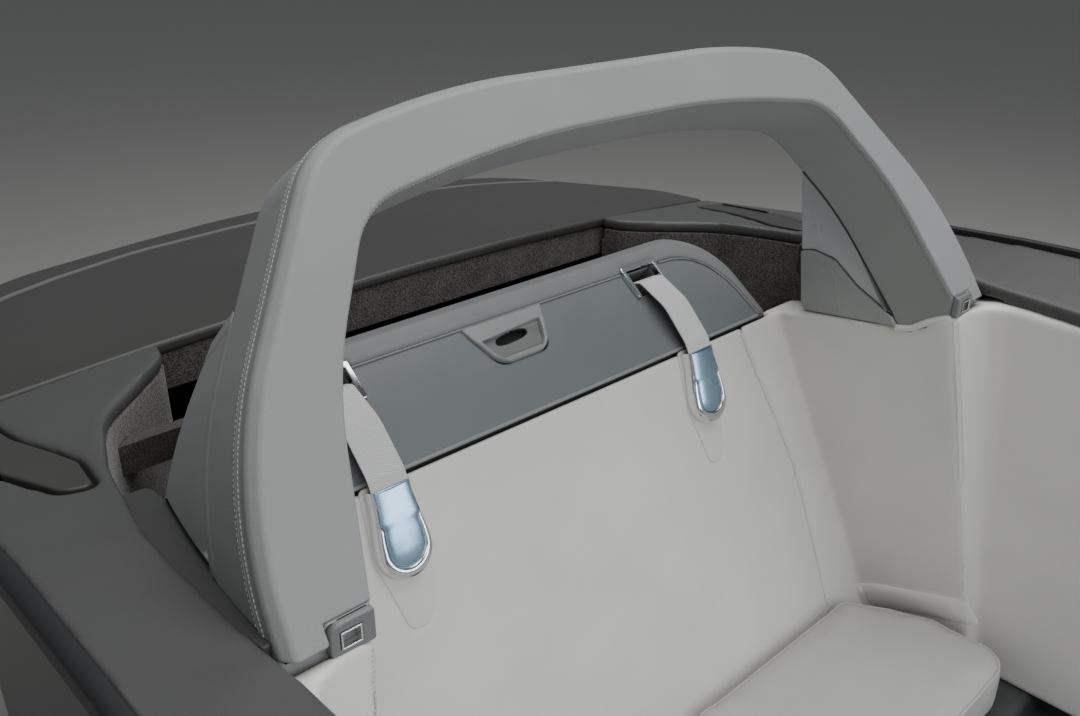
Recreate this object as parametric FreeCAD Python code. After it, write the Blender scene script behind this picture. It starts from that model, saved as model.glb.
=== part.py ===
# Rear cockpit section of an open two-seat roadster: the leather-wrapped roll-over hoop, its two
# buttress fins, the luggage hatch with its straps, the rear cockpit trim, the deck and its lid.
import FreeCAD, Part
import math
import os

V = FreeCAD.Vector

# The model is laid out from the hoop's feet: X across the car, Y to the rear, Z up, all zero
# midway between the feet. It is then moved so that zero is under the middle of its floor.
DECK_FRONT_Y = -300.0
DECK_HALF_W = 674.0
SEAL_W = 16.0
SEAL_END_Y = 345.0
SEAL_DEEP = 18.0
SEAL_PROUD = 7.0
FLOOR_Z = -700.0
LID_FRONT_Y = 592.0
LID_REAR_Y = 1050.0

# Reach of the blocks that trim other pieces off, well past the whole section
FAR = 1500.0

# Hoop: outlines in its own leaning plane, as (share of FOOT_X, height up the plane, run of the
# corner's rounding along each side as a share of FOOT_X)
FOOT_X = DECK_HALF_W - 108.0
HOOP_LEAN = 31.2
HOOP_DEPTH = 100.0
HOOP_FOOT_Z = -72.0
HOOP_TOE_Y = 4.0
HOOP_TOE_Z = -12.0
HOOP_LOW_S = -100.0
HOOP_OUTER = [(1.0, HOOP_LOW_S, 0), (0.9761, 125, 0.1954), (0.6767, 373, 0.0788), (0.3993, 405, 0.1782)]
HOOP_INNER = [(0.8905, HOOP_LOW_S, 0), (0.7751, 172, 0.0996), (0.6272, 307, 0.0676), (0.2977, 339, 0.2107)]
HOOP_EDGE = 9.0

# Fin: its reach behind the hoop's leg, and the plane of its inner trim
FIN_FRONT_Y = 40.0
FIN_REAR_Y = 256.0
FIN_SILL = ((FIN_FRONT_Y, -56.0), (FIN_REAR_Y, -96.4))
FIN_OUTER_Z = 4.0
FIN_SKIRT_X = FOOT_X - 37.0
FIN_TRIM_X = FOOT_X - 61.0
FIN_TRIM_Z = -60.0
FIN_TRIM_TAPER = 0.132
FIN_TRIM_LEAN = 0.194
FIN_TRIM_T = 8.0
FIN_BASE_DEEP = 48.0
FIN_BASE_GAP = 4.0

# Line where the lower cover meets the upper trim, as (y, z, corner radius)
COVER_LINE = [(60, -58, 0), (96, -47, 20), (150, -22, 30), (192, 10, 25), (232, 14, 20), (300, -8, 0)]
COVER_PROUD = 5.0
COVER_GAP = 1.0
COVER_FRONT_Y = 78.0

# Foot cap: the moulded guide at the front of each hoop foot
CAP_X = (FOOT_X - 85.0, FOOT_X - 44.0)
CAP_FRONT_Y = -5.0
CAP_Z = (-28.0, 3.0)
CAP_SLOT_W = 19.0
CAP_SLOT_H = 16.0
CAP_SLOT_DEEP = 7.0
LIP_T = 1.6
LIP_PROUD = 1.0

# Carrier: the pressed block of the tub that each hoop foot is bolted down on
CARRIER_Y = (2.0, 108.0)
CARRIER_H = 78.0

# Backrest panel, in a plane that leans back from its foot
BACK_LEAN = 20.7
BACK_FOOT = (86.0, -640.0)
BACK_T = 22.0
BACK_HALF_W = FOOT_X - 101.0
BACK_SIDE = [(BACK_HALF_W, 0, 0), (BACK_HALF_W - 3, 300, 500), (BACK_HALF_W - 70, 577, 0)]
BULKHEAD_T = 14.0
BULKHEAD_TOP_S = 548.0

# Luggage hatch, in a plane that slopes up to the rear from the backrest's top
HATCH_SLOPE = 39.0
HATCH_FOOT = (291.5, -99.0)
HATCH_T = 45.0
BAND_T = 20.0
PANEL_T = 4.0
ROLL_HALF_W = FOOT_X - 91.0
BAND_END = [(ROLL_HALF_W - 28, 0, 0), (ROLL_HALF_W - 47, 141, 105)]
ROLL_END = [(ROLL_HALF_W, 0, 0), (ROLL_HALF_W - 13, 186, 118)]
ROLL_PROUD = 5.0
ROLL_EDGE = 17.0
HATCH_GAP = 5.0
HATCH_AXIS = (474.0, -26.0)

# Straps, clasps and their slots, one of each on either side
STRAP_X = 277.0
WEB_W = 50.0
WEB_T = 2.4
WEB_PATH = [(402, -66, 0), (392, -26, 8), (374, -20, 8), (325, -44, 60), (283, -88, 40), (268, -118, 0)]
FRAME_W = 76.0
FRAME_S = (96.0, 150.0)
FRAME_BAR = 8.0
FRAME_PROUD = 6.0
FRAME_SUNK = 6.0
CLASP_TOP_S = 571.0
CLASP_L = 112.0
CLASP_W = 62.0
CLASP_T = 15.0
CLASP_GAP = 0.3
CLASP_RIM = 6.0
CLASP_FACE_T = 3.0
CLASP_FACE_PROUD = 0.6
DOCK_T = 4.0
DOCK_GROOVE = 1.2
BEZEL_W = 142.0
BEZEL_S = (74.0, 138.0)
BEZEL_T = 4.0
GRIP_W = 52.0
GRIP_H = 22.0
GRIP_DEEP = 16.0
GRIP_FLOOR_T = 2.0

# Tunnel cover, and the pads on either side of it
TUNNEL_HALF_W = 78.0
TUNNEL_TOP_Z = -560.0
TUNNEL_FRONT_Y = -230.0
PAD_TOP_Z = -552.0
PAD_BOTTOM_Z = -640.0
PAD_IN_X = TUNNEL_HALF_W + 4.0
PAD_OUT_X = FOOT_X - 14.0
PAD_OUTLINE = [(PAD_IN_X, 104, 16), (PAD_OUT_X - 70, 104, 30), (PAD_OUT_X - 30, 42, 50), (PAD_OUT_X, -35, 50),
               (PAD_OUT_X, -150, 60), (PAD_OUT_X - 46, -172, 60), (PAD_IN_X, -180, 30)]
PAD_EDGE = 12.0

# Deck: height at the inner and outer reference lines along the car, and the edge of the roof well
DECK_T = 20.0
DECK_IN_X = DECK_HALF_W - 122.0
DECK_EDGE_X = DECK_HALF_W - 100.0
DECK_RAIL = [(DECK_FRONT_Y, -8, 42), (0, -2, 37), (200, 12, 27), (400, 8, 5), (LID_FRONT_Y - 5, -4, -14)]
LID_GAP = 5.0
WELL_EDGE = [(DECK_EDGE_X - 10, -16, 0), (DECK_EDGE_X - 2, 60, 60), (DECK_EDGE_X, 200, 150),
             (DECK_EDGE_X - 26, 345, 250), (DECK_EDGE_X - 62, 448, 120), (DECK_EDGE_X - 179, 556, 60),
             (DECK_EDGE_X - 181, LID_FRONT_Y - LID_GAP, 0)]
CARPET_T = 8.0

# Deck lid: shallow crown across the car, falling to the rear
LID_T = 18.0
CROWN_R = 7680.0
CROWN_TOP_Z = 16.0
CROWN_FALL = 1.71
LID_EDGE = [(DECK_HALF_W, LID_FRONT_Y, 0), (DECK_HALF_W, LID_FRONT_Y + 108, 150),
            (DECK_HALF_W - 184, LID_REAR_Y - 50, 200), (0, LID_REAR_Y, 1500)]
LID_FLAP_H = 60.0
LID_FLAP_T = 6.0
LID_FLAP_SET = 4.0
HINGE_X = 260.0
HINGE_W = 30.0
HINGE_PLAY = 1.0
PIN_R = 4.0
PIN_CLEARANCE = 0.06
KNUCKLE_R = 9.0
KNUCKLE_DROP = 8.76
LID_FALL = (LID_REAR_Y - 48.0 - LID_FRONT_Y) * math.tan(math.radians(CROWN_FALL))
LID_AXIS = (LID_REAR_Y - 48.0, CROWN_TOP_Z - LID_FALL - LID_T - KNUCKLE_R - KNUCKLE_DROP)
EAR_T = 8.0
EAR_R = 7.0
EAR_H = 60.0

# Side flaps in the deck
FLAP_OUTLINE = [(DECK_EDGE_X, 308, 8), (DECK_EDGE_X + 27, 316, 20), (DECK_EDGE_X + 54, 392, 60),
                (DECK_EDGE_X + 76, 545, 8), (DECK_EDGE_X + 29, 545, 8), (DECK_EDGE_X + 23, 470, 80),
                (DECK_EDGE_X - 6, 366, 20)]
FLAP_T = 12.0
FLAP_GAP = 5.0
FLAP_POCKET = 16.0
FLAP_BARREL_R = 3.5
SEAT_GAP = 0.3

# Tub that carries it all
TUB_HALF_W = DECK_HALF_W - 34.0
TUB_T = 16.0
TUB_EDGE = [(TUB_HALF_W, DECK_FRONT_Y, 0), (TUB_HALF_W, LID_FRONT_Y + 60, 0),
            (TUB_HALF_W - 24, LID_FRONT_Y + 134, 0), (TUB_HALF_W - 164, LID_REAR_Y - 116, 0),
            (TUB_HALF_W - 232, LID_REAR_Y - 80.4, 0), (0, LID_REAR_Y - 40, 0)]
FLOOR_T = 12.0
TUB_TOP_Z = -30.0
WELL_FLOOR_Z = -330.0
SHELF_T = 10.0
SHELF_Y = (-190.0, 120.0)
BEAM_Y = (458.0, 476.0)
BEAM_Z = (-78.0, -42.0)
HATCH_HINGE_X = STRAP_X - 60.0
HATCH_EAR_T = 6.0
BOLT_X = TUB_HALF_W - 140.0
BOLT_Y = (DECK_FRONT_Y + 70.0, LID_REAR_Y - 250.0)
BOLT_R = 6.5
SILL_BOLT_Y = (DECK_FRONT_Y + 40.0, DECK_FRONT_Y + 160.0)
SILL_BOLT_Z = (FLOOR_Z + 100.0, FLOOR_Z + 400.0)
SILL_BOLT_R = 5.5

# Side trim: plan of its long side and of the post below the hoop's foot, as (x, y, radius), at
# the height of the feet and at its own foot, and its top edge as (y, z)
TRIM_LOW_Z = -640.0
TRIM_REAR_Y = 340.0
TRIM_PLAN_TOP = [(TUB_HALF_W - 86, DECK_FRONT_Y, 0), (TUB_HALF_W - 86, -5, 40), (TUB_HALF_W - 165.5, -5, 18),
                 (TUB_HALF_W - 165.5, TRIM_REAR_Y, 0)]
TRIM_PLAN_LOW = [(TUB_HALF_W - 63, DECK_FRONT_Y, 0), (TUB_HALF_W - 63, -96, 5), (TUB_HALF_W - 74, -96, 4),
                 (TUB_HALF_W - 74, TRIM_REAR_Y, 0)]
TRIM_TOP = [(TRIM_REAR_Y, -113), (302, -106), (66, -62), (54, -57), (33, -39), (12, -29), (-18, -21), (-67, -13),
            (-136, -8), (DECK_FRONT_Y, -8)]


def half_corner(before, corner, after):
    """Half of the angle that an outline's two sides make at one corner."""
    ax, ay = before[0] - corner[0], before[1] - corner[1]
    bx, by = after[0] - corner[0], after[1] - corner[1]
    cosine = (ax * bx + ay * by) / math.hypot(ax, ay) / math.hypot(bx, by)
    return math.acos(max(-1.0, min(1.0, cosine))) / 2


def corner_arc(before, corner, after):
    """Tangent points and middle of the arc that rounds one corner of an outline."""
    px, py, radius = corner
    ax, ay = before[0] - px, before[1] - py
    bx, by = after[0] - px, after[1] - py
    la, lb = math.hypot(ax, ay), math.hypot(bx, by)
    ax, ay, bx, by = ax / la, ay / la, bx / lb, by / lb
    half = half_corner(before, corner, after)
    run = radius / math.tan(half)
    mx, my = ax + bx, ay + by
    lm = math.hypot(mx, my)
    reach = radius / math.sin(half) - radius
    return ((px + ax * run, py + ay * run), (px + mx / lm * reach, py + my / lm * reach),
            (px + bx * run, py + by * run))


def path_edges(points, place, closed):
    """Lines and arcs through an outline's corners; place turns (a, b) into a point in space."""
    count = len(points)
    edges = []
    start = None
    last = None
    for i, point in enumerate(points):
        rounded = point[2] > 0 and (closed or 0 < i < count - 1)
        if rounded:
            first, middle, end = corner_arc(points[i - 1], point, points[(i + 1) % count])
        else:
            first = middle = end = (point[0], point[1])
        if last is None:
            start = first
        elif math.hypot(first[0] - last[0], first[1] - last[1]) > 1e-6:
            edges.append(Part.LineSegment(place(*last), place(*first)).toShape())
        if rounded:
            edges.append(Part.Arc(place(*first), place(*middle), place(*end)).toShape())
        last = end
    if closed and math.hypot(start[0] - last[0], start[1] - last[1]) > 1e-6:
        edges.append(Part.LineSegment(place(*last), place(*start)).toShape())
    return edges


def solid_of(points, place, push):
    """Prism over a closed outline."""
    face = Part.Face(Part.Wire(path_edges(points, place, True)))
    return face.extrude(push)


def upright(points, z0, z1):
    """Prism over a plan outline (x, y, radius)."""
    return solid_of(points, lambda a, b: V(a, b, z0), V(0, 0, z1 - z0))


def tapered(top, z_top, low, z_low):
    """Solid of flat faces between two plans of like corners, each corner eased by two facets."""
    rows = []
    for plan, z in ((top, z_top), (low, z_low)):
        spots = []
        for i, point in enumerate(plan):
            if point[2] > 0:
                spots += corner_arc(plan[i - 1], point, plan[(i + 1) % len(plan)])
            else:
                spots.append(point[:2])
        rows.append([V(x, y, z) for x, y in spots])
    upper, lower = (row + row[:1] for row in rows)
    sides = [[lower[i], lower[i + 1], upper[i + 1], upper[i], lower[i]] for i in range(len(upper) - 1)]
    return Part.Solid(Part.Shell([Part.Face(Part.makePolygon(loop)) for loop in [upper, lower] + sides]))


def across(points, x0, x1):
    """Prism over a side profile (y, z, radius)."""
    return solid_of(points, lambda a, b: V(x0, a, b), V(x1 - x0, 0, 0))


def both_halves(half):
    """Close a half outline, given from one end to the other, over the middle plane."""
    middle = [p for p in half if p[0] == 0]
    side = [p for p in half if p[0] != 0]
    return side + middle + [(-x, y, r) for x, y, r in reversed(side)]


def box(x0, x1, y0, y1, z0, z1):
    return Part.makeBox(x1 - x0, y1 - y0, z1 - z0, V(x0, y0, z0))


def leaning(shape, lean, foot):
    """Tip a shape drawn in the XZ plane back about the X axis, then set it on its foot."""
    shape = shape.copy()
    shape.rotate(V(0, 0, 0), V(1, 0, 0), -lean)
    shape.translate(V(0, foot[0], foot[1]))
    return shape


def plate(points, near, far, lean, foot):
    """Prism over (x, up the plane, radius); near and far are depths behind the plane."""
    flat = solid_of(points, lambda a, b: V(a, near, b), V(0, far - near, 0))
    return leaning(flat, lean, foot)


def shifted(points, dx, dy):
    return [(x + dx, y + dy, r) for x, y, r in points]


def one_solid(shape):
    """The largest solid of a cut, without slivers."""
    return max(shape.Solids, key=lambda s: s.Volume)


def mirrored(shape):
    return shape.mirror(V(0, 0, 0), V(1, 0, 0))


# The plane of the hatch leans back from upright by what its slope leaves
HATCH_LEAN = 90.0 - HATCH_SLOPE


def back_plate(points, near, far):
    return plate(points, near, far, BACK_LEAN, BACK_FOOT)


def hatch_plate(points, near, far):
    return plate(points, near, far, HATCH_LEAN, HATCH_FOOT)


def hoop_plate(points, near, far):
    return plate(points, near, far, HOOP_LEAN, (0.0, 0.0))


def turned(point, lean, foot):
    """Place of a point in a leaning plane's own terms: across, depth behind it, height up it."""
    lean = math.radians(lean)
    y, z = point.y - foot[0], point.z - foot[1]
    return point.x, y * math.cos(lean) - z * math.sin(lean), y * math.sin(lean) + z * math.cos(lean)


def rim_edges(shape, depth, low, lean, foot):
    """Edges of a leaning plate's face at one depth, apart from those at or below a height."""
    rim = []
    for edge in shape.Edges:
        first = turned(edge.valueAt(edge.FirstParameter), lean, foot)
        last = turned(edge.valueAt(edge.LastParameter), lean, foot)
        if all(abs(spot[1] - depth) < 0.01 for spot in (first, last)) and max(first[2], last[2]) > low + 0.01:
            rim.append(edge)
    return rim


def deck_height(x, y):
    """Height of the deck's top on its ruled surface."""
    for (y0, in0, out0), (y1, in1, out1) in zip(DECK_RAIL, DECK_RAIL[1:]):
        if y <= y1 or y1 == DECK_RAIL[-1][0]:
            k = (y - y0) / (y1 - y0)
            low = in0 + (in1 - in0) * k
            high = out0 + (out1 - out0) * k
            return low + (high - low) * (x - DECK_IN_X) / (DECK_HALF_W - DECK_IN_X)


def deck_layer(top, bottom):
    """Slab that follows the deck's surface, from one height above it to another."""
    x0, x1 = WELL_EDGE[-1][0] - 13, DECK_HALF_W + 2 * SEAL_W
    wires = []
    for y, _, _ in DECK_RAIL:
        za, zb = deck_height(x0, y), deck_height(x1, y)
        corners = [V(x0, y, za + bottom), V(x1, y, zb + bottom), V(x1, y, zb + top), V(x0, y, za + top)]
        wires.append(Part.makePolygon(corners + corners[:1]))
    return Part.makeLoft(wires, True, True)


def crown(offset):
    """Long cylinder whose top is the lid's outer skin, lowered by an offset."""
    fall = math.radians(CROWN_FALL)
    along = V(0, math.cos(fall), -math.sin(fall))
    up = V(0, math.sin(fall), math.cos(fall))
    middle = V(0, LID_FRONT_Y, CROWN_TOP_Z) - up * CROWN_R
    return Part.makeCylinder(CROWN_R - offset, 2 * FAR, middle - along * FAR, along)


def hoop_outline(half):
    """Closed outline with each corner's radius worked out from the run of its rounding."""
    points = both_halves([(FOOT_X * share, s, FOOT_X * run) for share, s, run in half])
    count = len(points)
    return [(x, s, run * math.tan(half_corner(points[i - 1], (x, s), points[(i + 1) % count])))
            for i, (x, s, run) in enumerate(points)]


# Hoop: one ring, its feet cut off level on their carriers and cut back behind their caps
def hoop():
    blank = hoop_plate(hoop_outline(HOOP_OUTER), 0, HOOP_DEPTH)
    blank = blank.makeChamfer(HOOP_EDGE, rim_edges(blank, 0, HOOP_LOW_S, HOOP_LEAN, (0.0, 0.0)))
    ring = blank.cut(hoop_plate(hoop_outline(HOOP_INNER), -HOOP_DEPTH, 2 * HOOP_DEPTH))
    toe = box(-FAR, FAR, -FAR, HOOP_TOE_Y, -FAR, HOOP_TOE_Z)
    behind_cap = box(0, CAP_X[1], -FAR, HOOP_TOE_Y, -FAR, CAP_Z[1])
    for shape in (toe, behind_cap, mirrored(behind_cap), box(-FAR, FAR, -FAR, FAR, -FAR, HOOP_FOOT_Z)):
        ring = ring.cut(shape)
    return one_solid(ring)


def fin_block():
    """Everything behind one hoop leg, between the hoop's outer line and the inner trim's plane."""
    behind = hoop_plate(hoop_outline(HOOP_OUTER), HOOP_DEPTH, FAR)
    (y0, z0), (y1, z1) = FIN_SILL
    return behind.common(across([(y0, z0, 0), (y1, z1, 0), (y1, FAR, 0), (y0, FAR, 0)], 0, FAR))


def trim_face(offset):
    """Half space inboard of the fin's inner trim, moved outboard by an offset."""
    def at(y, z):
        return FIN_TRIM_X + offset + FIN_TRIM_TAPER * (y - FIN_REAR_Y) - FIN_TRIM_LEAN * (z - FIN_TRIM_Z)

    ends = []
    for y in (0.0, 2 * FIN_REAR_Y):
        low, high = V(at(y, -FAR), y, -FAR), V(at(y, FAR), y, FAR)
        ends.append(Part.makePolygon([V(-FAR, y, -FAR), low, high, V(-FAR, y, FAR), V(-FAR, y, -FAR)]))
    return Part.makeLoft(ends, True, True)


def fins():
    """Fin, upper trim and lower cover of one side."""
    block = fin_block()
    core = one_solid(block.cut(trim_face(FIN_TRIM_T)))
    fin = one_solid(core.cut(box(FIN_SKIRT_X, FAR, -FAR, FAR, -FAR, FIN_OUTER_Z)))
    trim = block.common(trim_face(FIN_TRIM_T)).cut(trim_face(0))
    below = [(COVER_LINE[-1][0], -FAR, 0), (COVER_LINE[0][0], -FAR, 0)]
    raised = [(y, z + COVER_GAP, r) for y, z, r in COVER_LINE]
    upper = one_solid(trim.cut(across(raised + below, 0, FAR)))
    cover = one_solid(cover_block().common(across(COVER_LINE + below, 0, FAR)))
    return fin, upper, cover


def cover_block():
    """Lower cover: the trim's thickness and what stands proud of it, behind the hoop."""
    front, rear = COVER_FRONT_Y, FIN_REAR_Y - COVER_GAP
    (y0, z0), (y1, z1) = FIN_SILL
    fall = (z1 - z0) / (y1 - y0)
    profile = [(front, z0 + (front - y0) * fall, 0), (rear, z0 + (rear - y0) * fall, 14), (rear, FIN_REAR_Y, 0),
               (front, FIN_REAR_Y, 0)]
    slab = trim_face(FIN_TRIM_T).cut(trim_face(-COVER_PROUD)).common(across(profile, 0, FAR))
    return slab.cut(hoop_plate(hoop_outline(HOOP_OUTER), -FAR, HOOP_DEPTH + SEAT_GAP))


def foot_cap(ring):
    """Guide on the front of the hoop's foot, with a blind slot in its face."""
    x0, x1 = CAP_X
    z0, z1 = CAP_Z
    blank = solid_of([(x0, z0, 3), (x1, z0, 6), (x1, z1, 10), (x0, z1, 4)], lambda a, b: V(a, CAP_FRONT_Y, b),
                     V(0, HOOP_TOE_Y - CAP_FRONT_Y, 0))
    cx, cz = (x0 + x1) / 2 + 2, (z0 + z1) / 2 - 1

    def opening(inset, front, rear):
        half_w, half_h = CAP_SLOT_W / 2 - inset, CAP_SLOT_H / 2 - inset
        return box(cx - half_w, cx + half_w, front, rear, cz - half_h, cz + half_h)

    floor_y = CAP_FRONT_Y + CAP_SLOT_DEEP
    cap = one_solid(blank.cut(ring).cut(opening(0, CAP_FRONT_Y - LIP_PROUD, floor_y)))
    lip = opening(0, CAP_FRONT_Y - LIP_PROUD, floor_y - LIP_PROUD).cut(opening(LIP_T, -FAR, FAR))
    return cap, lip


# Dock outline on the backrest, about its strap's middle line, as (x, up the plane, radius)
def dock_outline(grow):
    top, low = CLASP_TOP_S + 4 + grow, CLASP_TOP_S - 176 - grow
    mid = CLASP_TOP_S - 105
    return [(-33 - grow, top, 8), (-37 - grow, mid + 20, 0), (-24 - grow, mid - 32, 30),
            (-15 - grow, low, 16), (15 + grow, low, 16), (24 + grow, mid - 32, 30),
            (37 + grow, mid + 20, 0), (33 + grow, top, 8)]


def clasp_outline(grow):
    top, low = CLASP_TOP_S + grow, CLASP_TOP_S - CLASP_L - grow
    wide = CLASP_W / 2 + grow
    return [(-25 - grow, top, 0), (-26 - grow, top - 34, 0), (-wide, top - 66, 26), (-wide * 0.7, low, 24),
            (wide * 0.7, low, 24), (wide, top - 66, 26), (26 + grow, top - 34, 0), (25 + grow, top, 0)]


def ribbon(points, thick):
    """Closed side profile of a band of one thickness along a path of (a, b, radius)."""
    lines = []
    for (a0, b0, _), (a1, b1, _) in zip(points, points[1:]):
        length = math.hypot(a1 - a0, b1 - b0)
        lines.append(((b1 - b0) / length, -(a1 - a0) / length))
    outline = []
    for side in (0.0, 1.0):
        row = []
        for i, (a, b, r) in enumerate(points):
            n0 = lines[max(0, i - 1)]
            n1 = lines[min(i, len(lines) - 1)]
            dot = n0[0] * n1[0] + n0[1] * n1[1]
            scale = side * thick / (1 + dot)
            turn = n0[0] * n1[1] - n0[1] * n1[0]
            radius = 0 if r == 0 else r + (side * thick if turn < 0 else -side * thick)
            row.append((a + (n0[0] + n1[0]) * scale, b + (n0[1] + n1[1]) * scale, max(radius, 0)))
        outline.append(row)
    return outline[0] + outline[1][::-1]


def hatch():
    """Hatch pieces: the moulded core, the leather band, the roll around it and its fittings."""
    band_outline = both_ends(BAND_END)
    roll_outline = both_ends(ROLL_END)
    core = hatch_plate(band_outline, BAND_T, HATCH_T)
    core = core.fuse(hatch_plate(roll_outline, HATCH_T - PANEL_T, HATCH_T))
    band = hatch_plate(band_outline, 0, BAND_T)
    roll = hatch_plate(roll_outline, -ROLL_PROUD, HATCH_T - PANEL_T)
    roll = roll.makeChamfer(ROLL_EDGE, rim_edges(roll, -ROLL_PROUD, 0, HATCH_LEAN, HATCH_FOOT))
    roll = roll.cut(hatch_plate(band_outline, -FAR, FAR))
    frames = []
    s0, s1 = FRAME_S
    hw = FRAME_W / 2
    slot_hw = hw - FRAME_BAR
    for x in (-STRAP_X, STRAP_X):
        outer = [(x - hw, s0, 3), (x + hw, s0, 3), (x + hw, s1, 5), (x - hw, s1, 5)]
        inner_top = [(x + slot_hw, s1 - FRAME_BAR, 0), (x - slot_hw, s1 - FRAME_BAR, 0)]
        inside = hatch_plate([(x - slot_hw, 0, 0), (x + slot_hw, 0, 0)] + inner_top, -FAR, FAR)
        frames.append(one_solid(hatch_plate(outer, -FRAME_PROUD, FRAME_SUNK).cut(inside)))
        hole = hatch_plate([(x - slot_hw, s0 + 2, 0), (x + slot_hw, s0 + 2, 0)] + inner_top, -FAR, FAR)
        seat = hatch_plate(outer, -FAR, FRAME_SUNK)
        band = band.cut(seat.cut(inside)).cut(hole)
        core = core.cut(hole)
        roll = roll.cut(seat)
    s0, s1 = BEZEL_S
    hw = BEZEL_W / 2
    bezel_line = [(-hw * 0.62, s0, 22), (hw * 0.62, s0, 22), (hw, s1, 10), (-hw, s1, 10)]
    middle = (s0 + s1) / 2
    grip_line = [(side * GRIP_W / 2, middle + end * GRIP_H / 2, GRIP_H / 2.01)
                 for side, end in ((-1, -1), (1, -1), (1, 1), (-1, 1))]
    grip = hatch_plate(grip_line, -FAR, GRIP_DEEP - GRIP_FLOOR_T)
    bezel = hatch_plate(bezel_line, -BEZEL_T, GRIP_DEEP).cut(grip)
    band = band.cut(hatch_plate(bezel_line, -FAR, GRIP_DEEP))
    return one_solid(core), one_solid(band), one_solid(roll), frames, bezel


def both_ends(half):
    """Close a half outline that starts and ends away from the middle plane."""
    return half + [(-x, y, r) for x, y, r in reversed(half)]


def straps():
    """Webbing from each slot to its clasp, and the clasps on the backrest."""
    webs, bodies, faces, docks = [], [], [], []
    profile = ribbon(WEB_PATH, WEB_T)
    for side in (-1, 1):
        x = side * STRAP_X
        webs.append(across(profile, x - WEB_W / 2, x + WEB_W / 2))
        body = back_plate(shifted(clasp_outline(0), x, 0), -CLASP_GAP - CLASP_T, -CLASP_GAP)
        face_line = [(a, b, r * 0.8) for a, b, r in shifted(clasp_outline(-CLASP_RIM), x, 0)]
        pocket = back_plate(face_line, -FAR, CLASP_FACE_T - CLASP_T)
        bodies.append(one_solid(body.cut(pocket).cut(webs[-1])))
        face = back_plate(face_line, -CLASP_GAP - CLASP_T - CLASP_FACE_PROUD, CLASP_FACE_T - CLASP_T)
        faces.append(one_solid(face.cut(webs[-1])))
        docks.append(back_plate(shifted(dock_outline(0), x, 0), 0, DOCK_T))
    return webs, bodies, faces, docks


def backrest():
    panel = back_plate(both_ends(BACK_SIDE), 0, BACK_T)
    for side in (-1, 1):
        panel = panel.cut(back_plate(shifted(dock_outline(DOCK_GROOVE), side * STRAP_X, 0), -FAR, DOCK_T))
    return one_solid(panel.cut(box(-FAR, FAR, -FAR, FAR, -FAR, PAD_BOTTOM_Z)).cut(hatch_room()))


def hatch_room():
    """Space that the shut hatch needs, with its gap all round."""
    return hatch_plate(grown(both_ends(ROLL_END), HATCH_GAP), -2 * HATCH_T, HATCH_T + HATCH_GAP)


def side_trim(taken):
    """Padded side wall: long side, and post below the hoop's foot and fin beside the backrest."""
    outer = TUB_HALF_W - TUB_T
    ends = [(outer, TRIM_REAR_Y, 0), (outer, DECK_FRONT_Y, 0)]
    wall = tapered(TRIM_PLAN_TOP + ends, 0.0, TRIM_PLAN_LOW + ends, TRIM_LOW_Z)
    slab = behind_plane(0).common(box(BACK_SIDE[-1][0] - HATCH_GAP, FAR, -FAR, FAR, -FAR, FAR))
    wall = wall.fuse(slab)
    front = back_plate([(0, -FAR, 0), (FAR, -FAR, 0), (FAR, FAR, 0), (0, FAR, 0)], -FAR, BACK_T)
    top = [(y, z, 0) for y, z in TRIM_TOP]
    profile = top + [(DECK_FRONT_Y, TRIM_LOW_Z, 0), (TRIM_TOP[0][0], TRIM_LOW_Z, 0)]
    trim = wall.common(across(profile, 0, outer)).common(front)
    for shape in taken:
        trim = trim.cut(shape)
    return one_solid(trim.cut(hatch_room()))


def quarter():
    """Deck panel beside the hoop, with the pocket of its flap."""
    front = [(DECK_IN_X - FIN_BASE_GAP, DECK_FRONT_Y, 0), (DECK_HALF_W, DECK_FRONT_Y, 0),
             (DECK_HALF_W, LID_FRONT_Y - LID_GAP, 0)]
    panel = deck_layer(0, -DECK_T).common(upright(front + WELL_EDGE[::-1], -FAR, FAR))
    pocket = deck_layer(DECK_T, -FLAP_POCKET).common(upright(grown(FLAP_OUTLINE, FLAP_GAP), -FAR, FAR))
    return one_solid(panel.cut(pocket))


def grown(points, amount):
    """Outline moved outward all round; it runs anticlockwise."""
    result = []
    count = len(points)
    for i, (x, y, r) in enumerate(points):
        ax, ay = x - points[i - 1][0], y - points[i - 1][1]
        bx, by = points[(i + 1) % count][0] - x, points[(i + 1) % count][1] - y
        la, lb = math.hypot(ax, ay), math.hypot(bx, by)
        n0, n1 = (ay / la, -ax / la), (by / lb, -bx / lb)
        scale = amount / (1 + n0[0] * n1[0] + n0[1] * n1[1])
        result.append((x + (n0[0] + n1[0]) * scale, y + (n0[1] + n1[1]) * scale, r + amount if r > 0 else 0))
    return result


def flap():
    """Small lid in the deck, with its hinge barrel along the outboard edge."""
    lid = one_solid(deck_layer(0, -FLAP_T).common(upright(FLAP_OUTLINE, -FAR, FAR)))
    start, end, axis = flap_axis()
    length = (end - start).Length
    barrel = Part.makeCylinder(FLAP_BARREL_R, length, start, axis)
    return lid.fuse(barrel).removeSplitter()


def flap_axis():
    """Ends and direction of the flap's hinge, at the deck's surface less the barrel."""
    (x0, y0, _), (x1, y1, _) = FLAP_OUTLINE[2], FLAP_OUTLINE[3]
    spots = []
    for k in (0.2, 0.85):
        x, y = x0 + (x1 - x0) * k, y0 + (y1 - y0) * k
        spots.append(V(x + FLAP_GAP - FLAP_BARREL_R - SEAT_GAP, y, deck_height(x, y) - FLAP_BARREL_R))
    axis = (spots[1] - spots[0]).normalize()
    return spots[0], spots[1], axis


def deck_lid():
    plan = upright(both_halves(LID_EDGE), -FAR, FAR)
    return one_solid(plan.common(crown(0)).cut(crown(LID_T)))


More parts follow.
